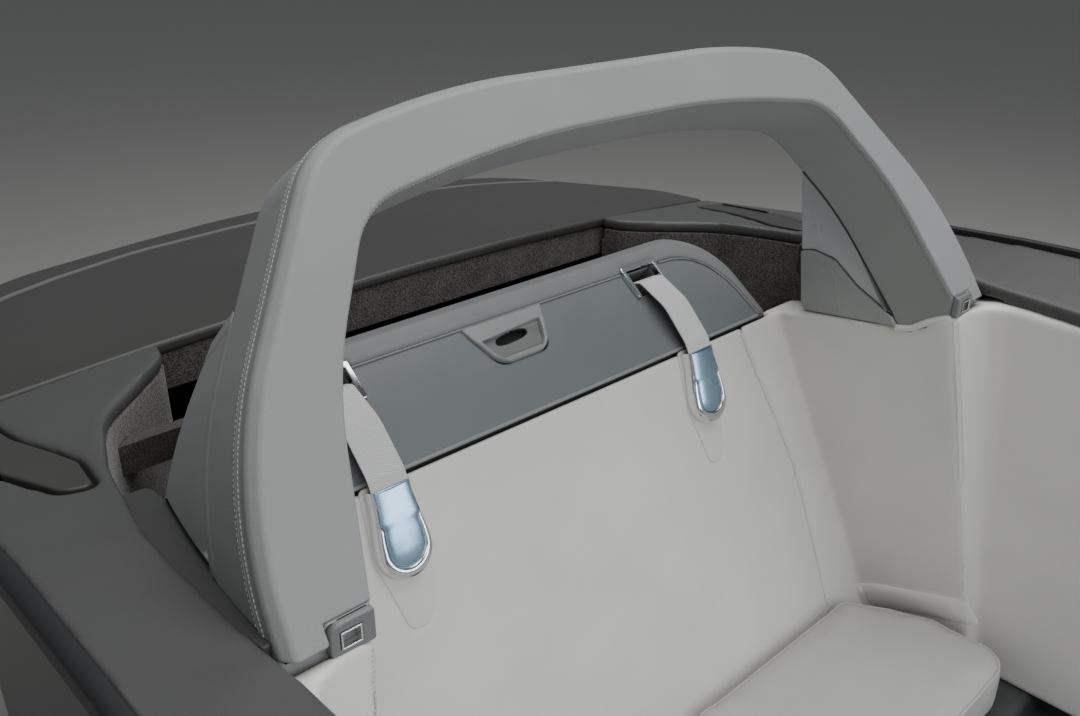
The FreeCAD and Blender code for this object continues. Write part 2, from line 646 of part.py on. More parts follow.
def lid_flap():
    """Carpeted strip that hangs under the lid's front edge."""
    half_w = DECK_EDGE_X - 81
    front = LID_FRONT_Y + LID_FLAP_SET
    strip = box(-half_w, half_w, front, front + LID_FLAP_T, -LID_FLAP_H, CROWN_TOP_Z)
    return one_solid(strip.common(crown(LID_T)))


def lid_hinges(x, wall):
    """Knuckle under the lid, and the bracket with its pin on the tub's rear wall."""
    y, z = LID_AXIS
    half = HINGE_W / 2
    block = box(x - half, x + half, y - KNUCKLE_R, y + KNUCKLE_R, z, CROWN_TOP_Z)
    barrel = Part.makeCylinder(KNUCKLE_R, HINGE_W, V(x - half, y, z), V(1, 0, 0))
    bore = Part.makeCylinder(PIN_R + PIN_CLEARANCE, HINGE_W, V(x - half, y, z), V(1, 0, 0))
    knuckle = one_solid(block.common(crown(LID_T)).fuse(barrel).cut(bore).removeSplitter())
    side = [(y - EAR_H, z + EAR_R - 2, 0), (y - EAR_H, z - EAR_H, 0), (y - EAR_R, z - EAR_H, 0),
            (y + KNUCKLE_R, z - 12, 0), (y + KNUCKLE_R, z + EAR_R, 6), (y - EAR_R, z + EAR_R, 6)]
    lo = x - half - HINGE_PLAY
    hi = x + half + HINGE_PLAY
    bracket = across(side, lo - EAR_T, lo).fuse(across(side, hi, hi + EAR_T))
    bracket = bracket.fuse(box(lo, hi, y - EAR_H, y - 14, z - EAR_H, z - 12))
    bracket = bracket.fuse(Part.makeCylinder(PIN_R, hi - lo + 2 * EAR_T, V(lo - EAR_T, y, z), V(1, 0, 0)))
    outside = bracket.cut(wall).removeSplitter().Solids
    return knuckle, max(outside, key=lambda solid: solid.BoundBox.YMax)


def offset_half(half, amount):
    """Half outline moved inward, its two ends kept on their own lines."""
    moved = grown(both_halves(half), -amount)[:len(half)]
    return [(moved[0][0], half[0][1], 0)] + moved[1:-1] + [(0, moved[-1][1], moved[-1][2])]


def tub():
    """Floor pan with its bolt holes, and the side and rear walls of pressed sheet."""
    outline = both_halves(TUB_EDGE)
    inner = both_halves(offset_half(TUB_EDGE, TUB_T))
    floor = upright(outline, FLOOR_Z, FLOOR_Z + FLOOR_T)
    for x in (-BOLT_X, BOLT_X):
        for y in BOLT_Y:
            floor = floor.cut(Part.makeCylinder(BOLT_R, FLOOR_T, V(x, y, FLOOR_Z)))
    wall = upright(outline, FLOOR_Z + FLOOR_T, CROWN_TOP_Z).cut(upright(inner, -FAR, FAR))
    inside = TUB_HALF_W - TUB_T
    wall = wall.cut(box(-inside, inside, DECK_FRONT_Y - TUB_T, DECK_FRONT_Y + TUB_T, -FAR, FAR))
    for x in (-TUB_HALF_W, TUB_HALF_W - TUB_T):
        for y in SILL_BOLT_Y:
            for z in SILL_BOLT_Z:
                wall = wall.cut(Part.makeCylinder(SILL_BOLT_R, TUB_T, V(x, y, z), V(1, 0, 0)))
    return floor, wall


def well_lining():
    """Carpeted wall that hangs under the deck's inner edge, one side."""
    start_y = FIN_REAR_Y + 6
    path = [(DECK_EDGE_X - 14, start_y, 0)] + [point for point in WELL_EDGE if point[1] > start_y]
    return upright(ribbon(path, CARPET_T), WELL_FLOOR_Z, CROWN_TOP_Z)


def bulkhead():
    """Pressed panel behind the backrest, from the floor to the hatch."""
    inside = TUB_HALF_W - TUB_T
    top = BULKHEAD_TOP_S
    outline = [(-inside, -FAR, 0), (inside, -FAR, 0), (inside, top, 0), (-inside, top, 0)]
    sheet = back_plate(outline, BACK_T, BACK_T + BULKHEAD_T)
    return one_solid(sheet.common(box(-FAR, FAR, -FAR, FAR, FLOOR_Z + FLOOR_T, FAR)).cut(hatch_room()))


def pad():
    """Seat pad of one side, eased along the top."""
    block = upright(PAD_OUTLINE, PAD_BOTTOM_Z, PAD_TOP_Z)
    top = [e for e in block.Edges if all(abs(v.Z - PAD_TOP_Z) < 0.01 for v in e.Vertexes)]
    return one_solid(block.makeChamfer(PAD_EDGE, top).cut(behind_plane(0)))


def tunnel():
    """Carpeted cover of the middle tunnel, between the pads."""
    w = TUNNEL_HALF_W
    section = [(-w, PAD_BOTTOM_Z, 0), (w, PAD_BOTTOM_Z, 0), (w - 3, TUNNEL_TOP_Z, 28),
               (-w + 3, TUNNEL_TOP_Z, 28)]
    cover = solid_of(section, lambda a, b: V(a, TUNNEL_FRONT_Y, b), V(0, FAR, 0))
    return one_solid(cover.cut(behind_plane(0)))


def shelves():
    """Seat shelf with its riser, floor of the roof well, and the beam that carries the hatch."""
    inside = TUB_HALF_W - TUB_T
    floor_top = FLOOR_Z + FLOOR_T
    top = PAD_BOTTOM_Z
    y0, y1 = SHELF_Y
    seat = across([(y0, floor_top, 0), (y0 + SHELF_T, floor_top, 0), (y0 + SHELF_T, top - SHELF_T, 6),
                   (y1, top - SHELF_T, 0), (y1, top, 0), (y0, top, 14)], -inside, inside)
    seat = one_solid(seat.cut(behind_plane(BACK_T)))
    room = upright(both_halves(offset_half(TUB_EDGE, TUB_T)), WELL_FLOOR_Z - SHELF_T, WELL_FLOOR_Z)
    well = one_solid(room.common(behind_plane(BACK_T + BULKHEAD_T)))
    beam = box(-inside, inside, BEAM_Y[0], BEAM_Y[1], BEAM_Z[0], BEAM_Z[1])
    return seat, well, beam


def behind_plane(depth):
    """Space behind a plane parallel to the backrest's face."""
    return back_plate([(-FAR, -FAR, 0), (FAR, -FAR, 0), (FAR, FAR, 0), (-FAR, FAR, 0)], depth, 2 * FAR)


def hatch_hinges(beam):
    """Two knuckles behind the hatch, and the beam with their ears and pins."""
    y, z = HATCH_AXIS
    knuckles = []
    for x in (-HATCH_HINGE_X, HATCH_HINGE_X):
        lo = x - HINGE_W / 2
        barrel = Part.makeCylinder(KNUCKLE_R, HINGE_W, V(lo, y, z), V(1, 0, 0))
        arm = across([(y - 38, z - 14, 0), (y, z - KNUCKLE_R, 0), (y, z + KNUCKLE_R, 0), (y - 30, z + 4, 0)],
                     lo, lo + HINGE_W)
        bore = Part.makeCylinder(PIN_R + PIN_CLEARANCE, HINGE_W, V(lo, y, z), V(1, 0, 0))
        knuckles.append(barrel.fuse(arm).cut(bore))
        foot_z = BEAM_Z[1] - 4
        ear = [(y - 12, foot_z, 0), (y + 2, foot_z, 0), (y + EAR_R, z, 0), (y + EAR_R, z + EAR_R, 6),
               (y - EAR_R, z + EAR_R, 6), (y - EAR_R, z, 0)]
        outer = lo - HINGE_PLAY - HATCH_EAR_T
        width = HINGE_W + 2 * HINGE_PLAY + 2 * HATCH_EAR_T
        beam = beam.fuse(across(ear, outer, outer + HATCH_EAR_T))
        beam = beam.fuse(across(ear, outer + width - HATCH_EAR_T, outer + width))
        beam = beam.fuse(Part.makeCylinder(PIN_R, width, V(outer, y, z), V(1, 0, 0)))
    return knuckles, beam.removeSplitter()


def seal():
    """Waist seal along the deck's outer edge."""
    wires = []
    for y in (DECK_FRONT_Y, 0, 200, SEAL_END_Y):
        z = deck_height(DECK_HALF_W, y)
        outer = DECK_HALF_W + SEAL_W
        row = [V(DECK_HALF_W, y, z - SEAL_DEEP), V(outer, y, z - SEAL_DEEP), V(outer, y, z + SEAL_PROUD / 2),
               V(DECK_HALF_W + SEAL_W * 0.6, y, z + SEAL_PROUD), V(DECK_HALF_W, y, z + SEAL_PROUD)]
        wires.append(Part.makePolygon(row + row[:1]))
    return Part.makeLoft(wires, True, True)


def fin_base(taken):
    """Dark strip that closes the gap between a fin's foot and the deck."""
    outer = FOOT_X + 14
    plan = [(FOOT_X - 18, CARRIER_Y[0] + 12, 0), (outer, CARRIER_Y[0] + 12, 0), (outer, FIN_REAR_Y + 34, 0),
            (FOOT_X - 34, FIN_REAR_Y + 34, 10), (FOOT_X - 34, CARRIER_Y[0] + 58, 0)]
    strip = upright(plan, FIN_OUTER_Z - FIN_BASE_GAP - FIN_BASE_DEEP, FIN_OUTER_Z - FIN_BASE_GAP)
    deck_plan = upright(WELL_EDGE + [(FAR, WELL_EDGE[-1][1], 0), (FAR, WELL_EDGE[0][1], 0)], -FAR, FAR)
    for shape in taken + [deck_plan]:
        strip = strip.cut(shape)
    return one_solid(strip)


def fin_space():
    """What the fin and its trim fill behind the hoop, with the cover's play."""
    return fin_block().cut(trim_face(-COVER_PROUD - COVER_GAP))


def pair(shape):
    return Part.makeCompound([shape, mirrored(shape)])


def build():
    shapes = {}
    ring = hoop()
    fin, trim, cover = fins()
    cap, lip = foot_cap(ring)
    core, band, roll, frames, bezel = hatch()
    webs, bodies, faces, docks = straps()
    floor, wall = tub()
    over = deck_layer(FAR, -DECK_T)
    over_lid = box(-FAR, FAR, DECK_RAIL[-1][0], FAR, -LID_AXIS[0], FAR).cut(crown(LID_T + LID_GAP))
    wall = one_solid(wall.cut(over).cut(mirrored(over)).cut(over_lid))
    bulk = bulkhead()
    seat, well, beam = shelves()
    knuckles, beam = hatch_hinges(beam)
    panel = backrest()
    deck = quarter()
    carrier = box(FIN_TRIM_X + 5, TUB_HALF_W - TUB_T, CARRIER_Y[0], CARRIER_Y[1],
                  HOOP_FOOT_Z - CARRIER_H, HOOP_FOOT_Z)
    for shape in (fin, cover, trim, cap, deck):
        carrier = carrier.cut(shape)
    carrier = one_solid(carrier)
    over_side = over.common(box(DECK_IN_X - 1.5 * FIN_BASE_GAP, FAR, -FAR, FAR, -FAR, FAR))
    side = side_trim([panel, carrier, cap, ring, over_side, fin_space()])
    base = fin_base([ring, fin, carrier, side])
    lining = well_lining()
    under_lid = box(0, FAR, LID_FRONT_Y - 2 * LID_GAP, FAR, TUB_TOP_Z, FAR)
    for shape in (over, under_lid, beam, side, bulk, base):
        lining = lining.cut(shape)
    flap_lid = flap()
    knuckle, bracket = lid_hinges(HINGE_X, wall)

    shapes["roll_hoop"] = ring
    sides = (("fin", fin), ("fin_trim", trim), ("fin_cover", cover), ("side_trim", side),
             ("quarter_deck", deck), ("side_flap", flap_lid), ("well_lining", one_solid(lining)),
             ("pad", pad()))
    for name, shape in sides:
        shapes[name + "_right"] = shape
        shapes[name + "_left"] = mirrored(shape)
    shapes["foot_caps"] = pair(cap)
    shapes["cap_lips"] = pair(lip)
    shapes["hatch_core"] = one_solid(core.fuse(knuckles))
    shapes["hatch_band"] = band
    shapes["hatch_roll"] = roll.cut(knuckles)
    shapes["hatch_handle"] = bezel
    shapes["strap_frames"] = Part.makeCompound(frames)
    shapes["strap_left"], shapes["strap_right"] = webs
    shapes["clasps"] = Part.makeCompound(bodies)
    shapes["clasp_faces"] = Part.makeCompound(faces)
    shapes["backrest"] = panel
    shapes["dock_pads"] = Part.makeCompound(docks)
    shapes["tunnel_cover"] = tunnel()
    shapes["waist_seals"] = pair(seal())
    shapes["fin_bases"] = pair(base)
    shapes["deck_lid"] = deck_lid()
    shapes["lid_carpet"] = lid_flap()
    shapes["lid_knuckles"] = pair(knuckle)
    shapes["lid_brackets"] = pair(bracket)
    shapes["floor_pan"] = floor
    shapes["tub_wall"] = wall
    shapes["bulkhead"] = bulk
    shapes["seat_shelf"] = seat
    shapes["well_floor"] = well
    shapes["hatch_beam"] = beam
    shapes["hoop_carriers"] = pair(carrier)
    return shapes


def under_middle(shapes):
    """Move that sets zero under the middle of the whole section, on the surface it stands on."""
    extent = Part.makeCompound(list(shapes.values())).optimalBoundingBox(False, False)
    return V(0, -(extent.YMin + extent.YMax) / 2, -extent.ZMin)


os.makedirs("parts", exist_ok=True)
pieces = build()
shift = under_middle(pieces)
for node, piece in pieces.items():
    piece.translate(shift)
    piece.exportStep("parts/" + node + ".step")
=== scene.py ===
# Rear cockpit section of an open roadster, trimmed in grey and cream leather: looks for the packed
# frame. Sizes are metres in the frame's own axes: +X right, +Y to the rear, +Z up, floor at zero.
import bpy
import bmesh
import math
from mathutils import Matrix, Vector
from mathutils.bvhtree import BVHTree


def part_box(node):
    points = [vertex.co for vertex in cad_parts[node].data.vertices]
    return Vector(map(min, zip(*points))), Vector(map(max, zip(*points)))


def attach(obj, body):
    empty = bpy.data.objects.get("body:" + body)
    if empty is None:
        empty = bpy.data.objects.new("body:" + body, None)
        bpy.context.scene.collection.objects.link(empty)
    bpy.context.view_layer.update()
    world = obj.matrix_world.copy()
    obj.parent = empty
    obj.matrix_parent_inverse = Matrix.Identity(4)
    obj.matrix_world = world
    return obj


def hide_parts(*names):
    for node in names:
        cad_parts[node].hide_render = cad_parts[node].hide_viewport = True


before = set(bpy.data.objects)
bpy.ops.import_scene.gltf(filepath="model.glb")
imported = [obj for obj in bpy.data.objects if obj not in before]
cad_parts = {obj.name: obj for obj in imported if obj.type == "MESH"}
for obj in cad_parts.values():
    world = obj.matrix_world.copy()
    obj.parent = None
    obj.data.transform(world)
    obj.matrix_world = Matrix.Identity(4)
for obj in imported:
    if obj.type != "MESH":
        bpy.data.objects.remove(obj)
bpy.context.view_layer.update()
scene = bpy.context.scene


# Studio: a wide pale floor, a large soft light overhead, a low cool softbox ahead on the right and
# a high warm one ahead on the left. The camera looks down from the front left corner, past the
# hoop's near leg, to the far side.
FLOOR_AHEAD = 0.300
FEET_UP = 0.700
FEET = Vector((0.0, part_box("floor_pan")[0].y + FLOOR_AHEAD, FEET_UP))
CAMERA_PLACE = (-813.57, -545.56, 496.04)
CAMERA_TILT = 65.53
CAMERA_TURN = -43.143


def at(x, y, z):
    """A place in millimetres to the right, to the rear and up from midway between the hoop's feet."""
    return FEET + Vector((x, y, z)) / 1000.0


camera = bpy.data.objects.new("camera", bpy.data.cameras.new("camera"))
scene.collection.objects.link(camera)
camera.location = at(*CAMERA_PLACE)
camera.rotation_euler = (math.radians(CAMERA_TILT), 0.0, math.radians(CAMERA_TURN))
camera.data.sensor_width = 36.0
camera.data.lens = 33.33
scene.camera = camera

bpy.ops.object.select_all(action="DESELECT")
bpy.ops.mesh.primitive_plane_add(size=30.0, location=(0, 0, 0))
floor = bpy.context.object
floor.name = "studio_floor"
floor_paint = bpy.data.materials.new("studio_floor_paint")
floor_paint.use_nodes = True
floor_shader = floor_paint.node_tree.nodes["Principled BSDF"]
floor_shader.inputs["Base Color"].default_value = (0.36, 0.35, 0.335, 1)
floor_shader.inputs["Roughness"].default_value = 0.9
floor.data.materials.append(floor_paint)

scene.world = bpy.data.worlds.new("studio_air")
scene.world.use_nodes = True
air = scene.world.node_tree.nodes["Background"]
air.inputs["Color"].default_value = (0.84, 0.88, 0.92, 1)
air.inputs["Strength"].default_value = 0.24

for name, place, target, width, height, power, colour in (
        ("sky_panel", (0.5, -0.3, 3.4), (0.0, 0.0, 0.6), 2.6, 2.6, 88.0, (1.0, 1.0, 1.0)),
        ("front_panel", (1.25, -3.0, 1.00), (0.0, 0.0, 0.6), 2.0, 1.0, 30.0, (0.84, 0.93, 1.0)),
        ("near_panel", (-1.2, -3.0, 2.6), (0.1, 0.0, 0.6), 1.8, 1.8, 36.0, (1.0, 0.98, 0.95))):
    lamp = bpy.data.objects.new(name, bpy.data.lights.new(name, "AREA"))
    lamp.data.shape = "RECTANGLE"
    lamp.data.size = width
    lamp.data.size_y = height
    lamp.data.energy = power
    lamp.data.color = colour
    lamp.location = place
    lamp.rotation_euler = (Vector(place) - Vector(target)).to_track_quat("Z", "Y").to_euler()
    scene.collection.objects.link(lamp)


# Roll-over hoop: a steel tube in moulded foam, wrapped in grey leather that runs on over the two
# fins behind its legs. A double-stitched seam goes round its outer edge and a plain seam with one
# row of stitches round its inner edge.
class Wire:
    """One value on its way through a material: sums written with it become nodes."""

    def __init__(self, coat, socket):
        self.coat = coat
        self.socket = socket

    def maths(self, operation, first, second=0.0):
        return self.coat.node("ShaderNodeMath", {"operation": operation}, {0: first, 1: second})

    def __add__(self, other):
        return self.maths("ADD", self, other)

    def __radd__(self, other):
        return self.maths("ADD", other, self)

    def __sub__(self, other):
        return self.maths("SUBTRACT", self, other)

    def __rsub__(self, other):
        return self.maths("SUBTRACT", other, self)

    def __mul__(self, other):
        return self.maths("MULTIPLY", self, other)

    def __rmul__(self, other):
        return self.maths("MULTIPLY", other, self)

    def __mod__(self, other):
        return self.maths("FLOORED_MODULO", self, other)

    def __abs__(self):
        return self.maths("ABSOLUTE", self)

    def wave(self):
        return self.maths("SINE", self)


class Coat:
    """A material. Its node method makes any node from its settings and the values of its sockets."""

    def __init__(self, name, roughness=0.5, **constants):
        self.material = bpy.data.materials.new(name)
        self.material.use_nodes = True
        self.tree = self.material.node_tree
        self.shader = self.tree.nodes["Principled BSDF"]
        self.shader.inputs["Roughness"].default_value = roughness
        for socket, value in constants.items():
            self.shader.inputs[socket.replace("_", " ")].default_value = value

    def node(self, kind, settings, values, output=0):
        made = self.tree.nodes.new(kind)
        for setting, value in settings.items():
            if setting == "stops":
                for spot, (place, colour) in zip(made.color_ramp.elements, value):
                    spot.position = place
                    spot.color = (*colour, 1)
            else:
                setattr(made, setting, value)
        for socket, value in values.items():
            if isinstance(value, Wire):
                self.tree.links.new(value.socket, made.inputs[socket])
            else:
                made.inputs[socket].default_value = value
        return Wire(self, made.outputs[output])

    def feed(self, socket, wire):
        self.tree.links.new(wire.socket, self.shader.inputs[socket])

    def own_place(self):
        return self.node("ShaderNodeTexCoord", {}, {}, "Object")

    def noise(self, place, scale, detail=2.0, rough=0.5):
        return self.node("ShaderNodeTexNoise", {}, {"Vector": place, "Scale": scale, "Detail": detail,
                                                    "Roughness": rough})


def shade(colour, share):
    """A colour made darker or lighter by a share."""
    return tuple(min(1.0, part * share) for part in colour)


def leather(name, colour, pebbles=900.0, deep=0.00016, roughness=0.50):
    """Drum-dyed hide: pebbles about a millimetre wide, faint clouds in the dye, darker pores."""
    coat = Coat(name, roughness=roughness, Specular_IOR_Level=0.40)
    place = coat.own_place()
    pebble = coat.node("ShaderNodeTexVoronoi", {"feature": "SMOOTH_F1"},
                       {"Vector": place, "Scale": pebbles, "Smoothness": 0.35})
    crease = coat.noise(place, pebbles * 0.4, 4.0)
    swell = coat.noise(place, 26.0)
    cloud = coat.noise(place, 7.0, 4.0, 0.6)
    height = (1.0 - pebble) * 0.55 + crease * 0.55 + swell * 0.9
    coat.feed("Normal", coat.node("ShaderNodeBump", {}, {"Height": height, "Distance": deep}))
    dyed = coat.node("ShaderNodeValToRGB", {"stops": (
        (0.30, shade(colour, 0.955)), (0.70, shade(colour, 1.035)))}, {"Fac": cloud})
    coat.feed("Base Color", coat.node("ShaderNodeMix", {"data_type": "RGBA", "blend_type": "MULTIPLY"},
                                      {"Factor": pebble * 0.35, 6: dyed, 7: (0.80, 0.80, 0.79, 1)}, 2))
    coat.feed("Roughness", roughness - 0.07 + swell * 0.06 + pebble * 0.10)
    return coat


def chosen(piece):
    """Selects one piece alone and makes it the active one."""
    bpy.ops.object.select_all(action="DESELECT")
    piece.select_set(True)
    bpy.context.view_layer.objects.active = piece


def copy_of(name, node):
    """A CAD node's mesh as a new piece, with its corners merged."""
    piece = bpy.data.objects.new(name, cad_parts[node].data.copy())
    scene.collection.objects.link(piece)
    chosen(piece)
    bpy.ops.object.mode_set(mode="EDIT")
    bpy.ops.mesh.select_all(action="SELECT")
    bpy.ops.mesh.remove_doubles(threshold=0.00002)
    bpy.ops.object.mode_set(mode="OBJECT")
    return piece


def new_piece(name, corners, faces):
    """A piece made from its corners and the faces between them."""
    mesh = bpy.data.meshes.new(name)
    mesh.from_pydata(corners, [], faces)
    piece = bpy.data.objects.new(name, mesh)
    scene.collection.objects.link(piece)
    return piece


def apply(piece, kind, **settings):
    """Puts a modifier on a piece and makes its result the piece's own mesh."""
    chosen(piece)
    modifier = piece.modifiers.new(kind.lower(), kind)
    for setting, value in settings.items():
        setattr(modifier, setting, value)
    bpy.ops.object.modifier_apply(modifier=modifier.name)


def finish_piece(piece, coat, body, slot, *replaced, angle=40.0, even=False):
    """Shades and dresses a piece, and says what it rides on and what it replaces; its slot is not used."""
    chosen(piece)
    bpy.ops.object.shade_smooth_by_angle(angle=math.radians(angle))
    if even:
        apply(piece, "WEIGHTED_NORMAL", keep_sharp=True)
    piece.data.materials.clear()
    piece.data.materials.append(coat.material)
    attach(piece, body)
    if replaced:
        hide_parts(*replaced)


def rounded(piece, amount, segments=3, least=30.0, wanted=None):
    """Eases a piece's sharp edges, or those of them whose middle is wanted."""
    chosen(piece)
    bpy.ops.object.mode_set(mode="EDIT")
    bpy.ops.mesh.select_mode(type="EDGE")
    bpy.ops.mesh.select_all(action="SELECT")
    bpy.ops.mesh.dissolve_limited(angle_limit=math.radians(1.0))
    bpy.ops.mesh.select_all(action="DESELECT")
    cage = bmesh.from_edit_mesh(piece.data)
    for edge in cage.edges:
        sharp = len(edge.link_faces) == 2 and edge.calc_face_angle() > math.radians(least)
        if sharp and (wanted is None or wanted((edge.verts[0].co + edge.verts[1].co) / 2)):
            edge.select_set(True)
    bmesh.update_edit_mesh(piece.data)
    bpy.ops.mesh.bevel(offset=amount, segments=segments, clamp_overlap=False)
    bpy.ops.object.mode_set(mode="OBJECT")


def skin_of(piece):
    """A piece's surface, for lines that are laid on it."""
    places = [vertex.co for vertex in piece.data.vertices]
    return BVHTree.FromPolygons(places, [face.vertices for face in piece.data.polygons])


def evenly(points, step):
    """The same line with its points a step apart."""
    lengths = [0.0]
    for first, second in zip(points, points[1:]):
        lengths.append(lengths[-1] + (second - first).length)
    count = max(2, round(lengths[-1] / step))
    spread = []
    leg = 0
    for number in range(count + 1):
        reach = lengths[-1] * number / count
        while leg < len(points) - 2 and lengths[leg + 1] < reach:
            leg += 1
        share = (reach - lengths[leg]) / max(lengths[leg + 1] - lengths[leg], 1e-9)
        spread.append(points[leg].lerp(points[leg + 1], min(1.0, share)))
    return spread


def smoothed(points, passes):
    """The same line with its corners eased and its two ends left where they are."""
    for _ in range(passes):
        between = [(a + b * 2 + c) / 4 for a, b, c in zip(points, points[1:], points[2:])]
        points = points[:1] + between + points[-1:]
    return points


def drawn_on(skin, points, step=0.003, eased=3):
    """Places and outward normals along a drawn line, laid on a piece's skin."""
    points = smoothed(evenly(points, step), eased)
    line = []
    for point in points:
        place, normal, _, _ = skin.find_nearest(point)
        line.append((place, normal))
    normals = [normal for _, normal in line]
    for _ in range(6):
        between = [(a + b * 2 + c).normalized() for a, b, c in zip(normals, normals[1:], normals[2:])]
        normals = normals[:1] + between + normals[-1:]
    return [(place, normal) for (place, _), normal in zip(line, normals)]


def along(line):
    """Each point of a line with its three directions: onward, outward and to one side."""
    for number, (place, normal) in enumerate(line):
        onward = (line[min(number + 1, len(line) - 1)][0] - line[max(number - 1, 0)][0]).normalized()
        normal = (normal - onward * normal.dot(onward)).normalized()
        yield place, onward, normal, normal.cross(onward)


def swept(name, line, profile, round_section=False, fade=0):
    """A band or cord whose section, in millimetres to one side and outward, follows a line.

    Over its first and last rows, as many as fade says, it flattens and sinks by FADE_DEPTH.
    """
    corners = []
    for number, (place, onward, normal, side) in enumerate(along(line)):
        share = min(1.0, number / fade, (len(line) - 1 - number) / fade) if fade else 1.0
        sunk = (1.0 - share) * FADE_DEPTH
        corners += [place + side * (a / 1000.0) + normal * ((b * share - sunk) / 1000.0) for a, b in profile]
    width = len(profile)
    across_count = width if round_section else width - 1
    faces = []
    for row in range(len(line) - 1):
        for column in range(across_count):
            here = row * width + column
            beside = row * width + (column + 1) % width
            faces.append((here, here + width, beside + width, beside))
    if round_section:
        faces.append(tuple(range(width)))
        faces.append(tuple(range((len(line) - 1) * width, len(line) * width))[::-1])
    return new_piece(name, corners, faces)


def stitches(name, line, rows, pitch=0.0046, length=0.0034, thick=0.00085, out=0.0004):
    """Rows of thread stitches beside a line, at distances to its side in millimetres."""
    chosen(floor)
    bpy.ops.mesh.primitive_uv_sphere_add(segments=6, ring_count=5, radius=0.5)
    stitch = bpy.context.object
    shape = [vertex.co.copy() for vertex in stitch.data.vertices]
    faces = [tuple(face.vertices) for face in stitch.data.polygons]
    bpy.data.objects.remove(stitch)
    corners = []
    joined = []
    for shift in rows:
        row = [(place + side * (shift / 1000.0), normal) for place, onward, normal, side in along(line)]
        total = sum((b[0] - a[0]).length for a, b in zip(row, row[1:]))
        spots = evenly([place for place, _ in row], total / max(1, round(total / pitch)))
        for number, (first, second) in enumerate(zip(spots, spots[1:])):
            nearest = min(len(row) - 1, round((number + 0.5) / len(spots) * len(row)))
            onward = (second - first).normalized()
            normal = row[nearest][1]
            side = normal.cross(onward).normalized()
            middle = (first + second) / 2 + normal * out
            start = len(corners)
            corners += [middle + onward * (c.z * length) + side * (c.x * thick) + normal * (c.y * thick)
                        for c in shape]
            joined += [tuple(start + corner for corner in face) for face in faces]
    return new_piece(name, corners, joined)


# How far the faded end of a seam or a join sinks, in millimetres.
FADE_DEPTH = 0.8

HOOP_LEAN = math.radians(31.2)
HOOP_BEHIND = Vector((0.0, math.cos(HOOP_LEAN), -math.sin(HOOP_LEAN)))
HOOP_UP = Vector((0.0, math.sin(HOOP_LEAN), math.cos(HOOP_LEAN)))
HOOP_MIDDLE_UP = 0.150
HOOP_MIDDLE = FEET + HOOP_UP * HOOP_MIDDLE_UP
HOOP_REACH = 1.2
HOOP_EASE = 0.0036
FIN_EASE = 0.0045

# Depths behind the hoop's front face, in metres. The cover of a fin's join is drawn JOIN_BACK ahead
# of the join, where the hoop's skin is flat, and is then set back onto it.
OUTER_SEAM = 0.027
INNER_SEAM = 0.0075
FIN_JOIN = 0.0995
JOIN_BACK = 0.008
FIN_CLEAR = 0.102

# Sections of seams and of the join's cover: millimetres to one side, and outward.
DECK_SEAM = [(-7.5, -0.4), (-6.4, 0.10), (-4.6, 0.30), (-2.8, 0.80), (-1.1, 0.75), (0, -0.45), (1.1, 0.75),
             (2.8, 0.80), (4.6, 0.30), (6.4, 0.10), (7.5, -0.4)]
JOIN_COVER = [(-7.5, -0.3), (-6.0, 0.10), (-2.0, 0.16), (2.0, 0.16), (6.0, 0.10), (7.5, -0.3)]
PLAIN_SEAM = [(-2.8, -0.3), (-2.0, 0.25), (-0.8, 0.40), (0, -0.35), (0.8, 0.40), (2.0, 0.25), (2.8, -0.3)]

hoop_grey = leather("hoop_leather", (0.272, 0.281, 0.277))
thread = Coat("pale_thread", roughness=0.7)
thread_place = thread.own_place()
thread.feed("Base Color", thread.node("ShaderNodeValToRGB", {"stops": (
    (0.35, (0.40, 0.40, 0.385)), (0.65, (0.62, 0.62, 0.60)))}, {"Fac": thread.noise(thread_place, 900.0)}))


def clear_of_hoop(place):
    """Whether a place on a fin is behind its join with the hoop, where its edges are eased."""
    return (place - FEET).dot(HOOP_BEHIND) > FIN_CLEAR


hoop = copy_of("hoop_wrap", "roll_hoop")
rounded(hoop, HOOP_EASE, 4, 24.0)
for fin in ("fin_left", "fin_right"):
    wing = copy_of(fin + "_wrap", fin)
    rounded(wing, FIN_EASE, 4, 30.0, clear_of_hoop)
    chosen(hoop)
    wing.select_set(True)
    bpy.ops.object.join()
hoop_skin = skin_of(hoop)
finish_piece(hoop, hoop_grey, "tub", "hoop_leather", "roll_hoop", "fin_left", "fin_right", even=True)


def round_the_hoop(depth, inside, first, last, steps=300):
    """A line on the hoop's outer or inner surface, a depth behind its front, between two angles."""
    points = []
    centre = HOOP_MIDDLE + HOOP_BEHIND * depth
    for number in range(steps + 1):
        turn = math.radians(first + (last - first) * number / steps)
        ray = Vector((math.cos(turn), 0, 0)) + HOOP_UP * math.sin(turn)
        start = centre if inside else centre + ray * HOOP_REACH
        place = hoop_skin.ray_cast(start, ray if inside else -ray)[0]
        if place:
            points.append(place)
    return points


def on_both_legs(first, last):
    """Each leg's name with its two angles, the left leg's as the mirror image of the right one's."""
    return ("right", first, last), ("left", 180.0 - last, 180.0 - first)


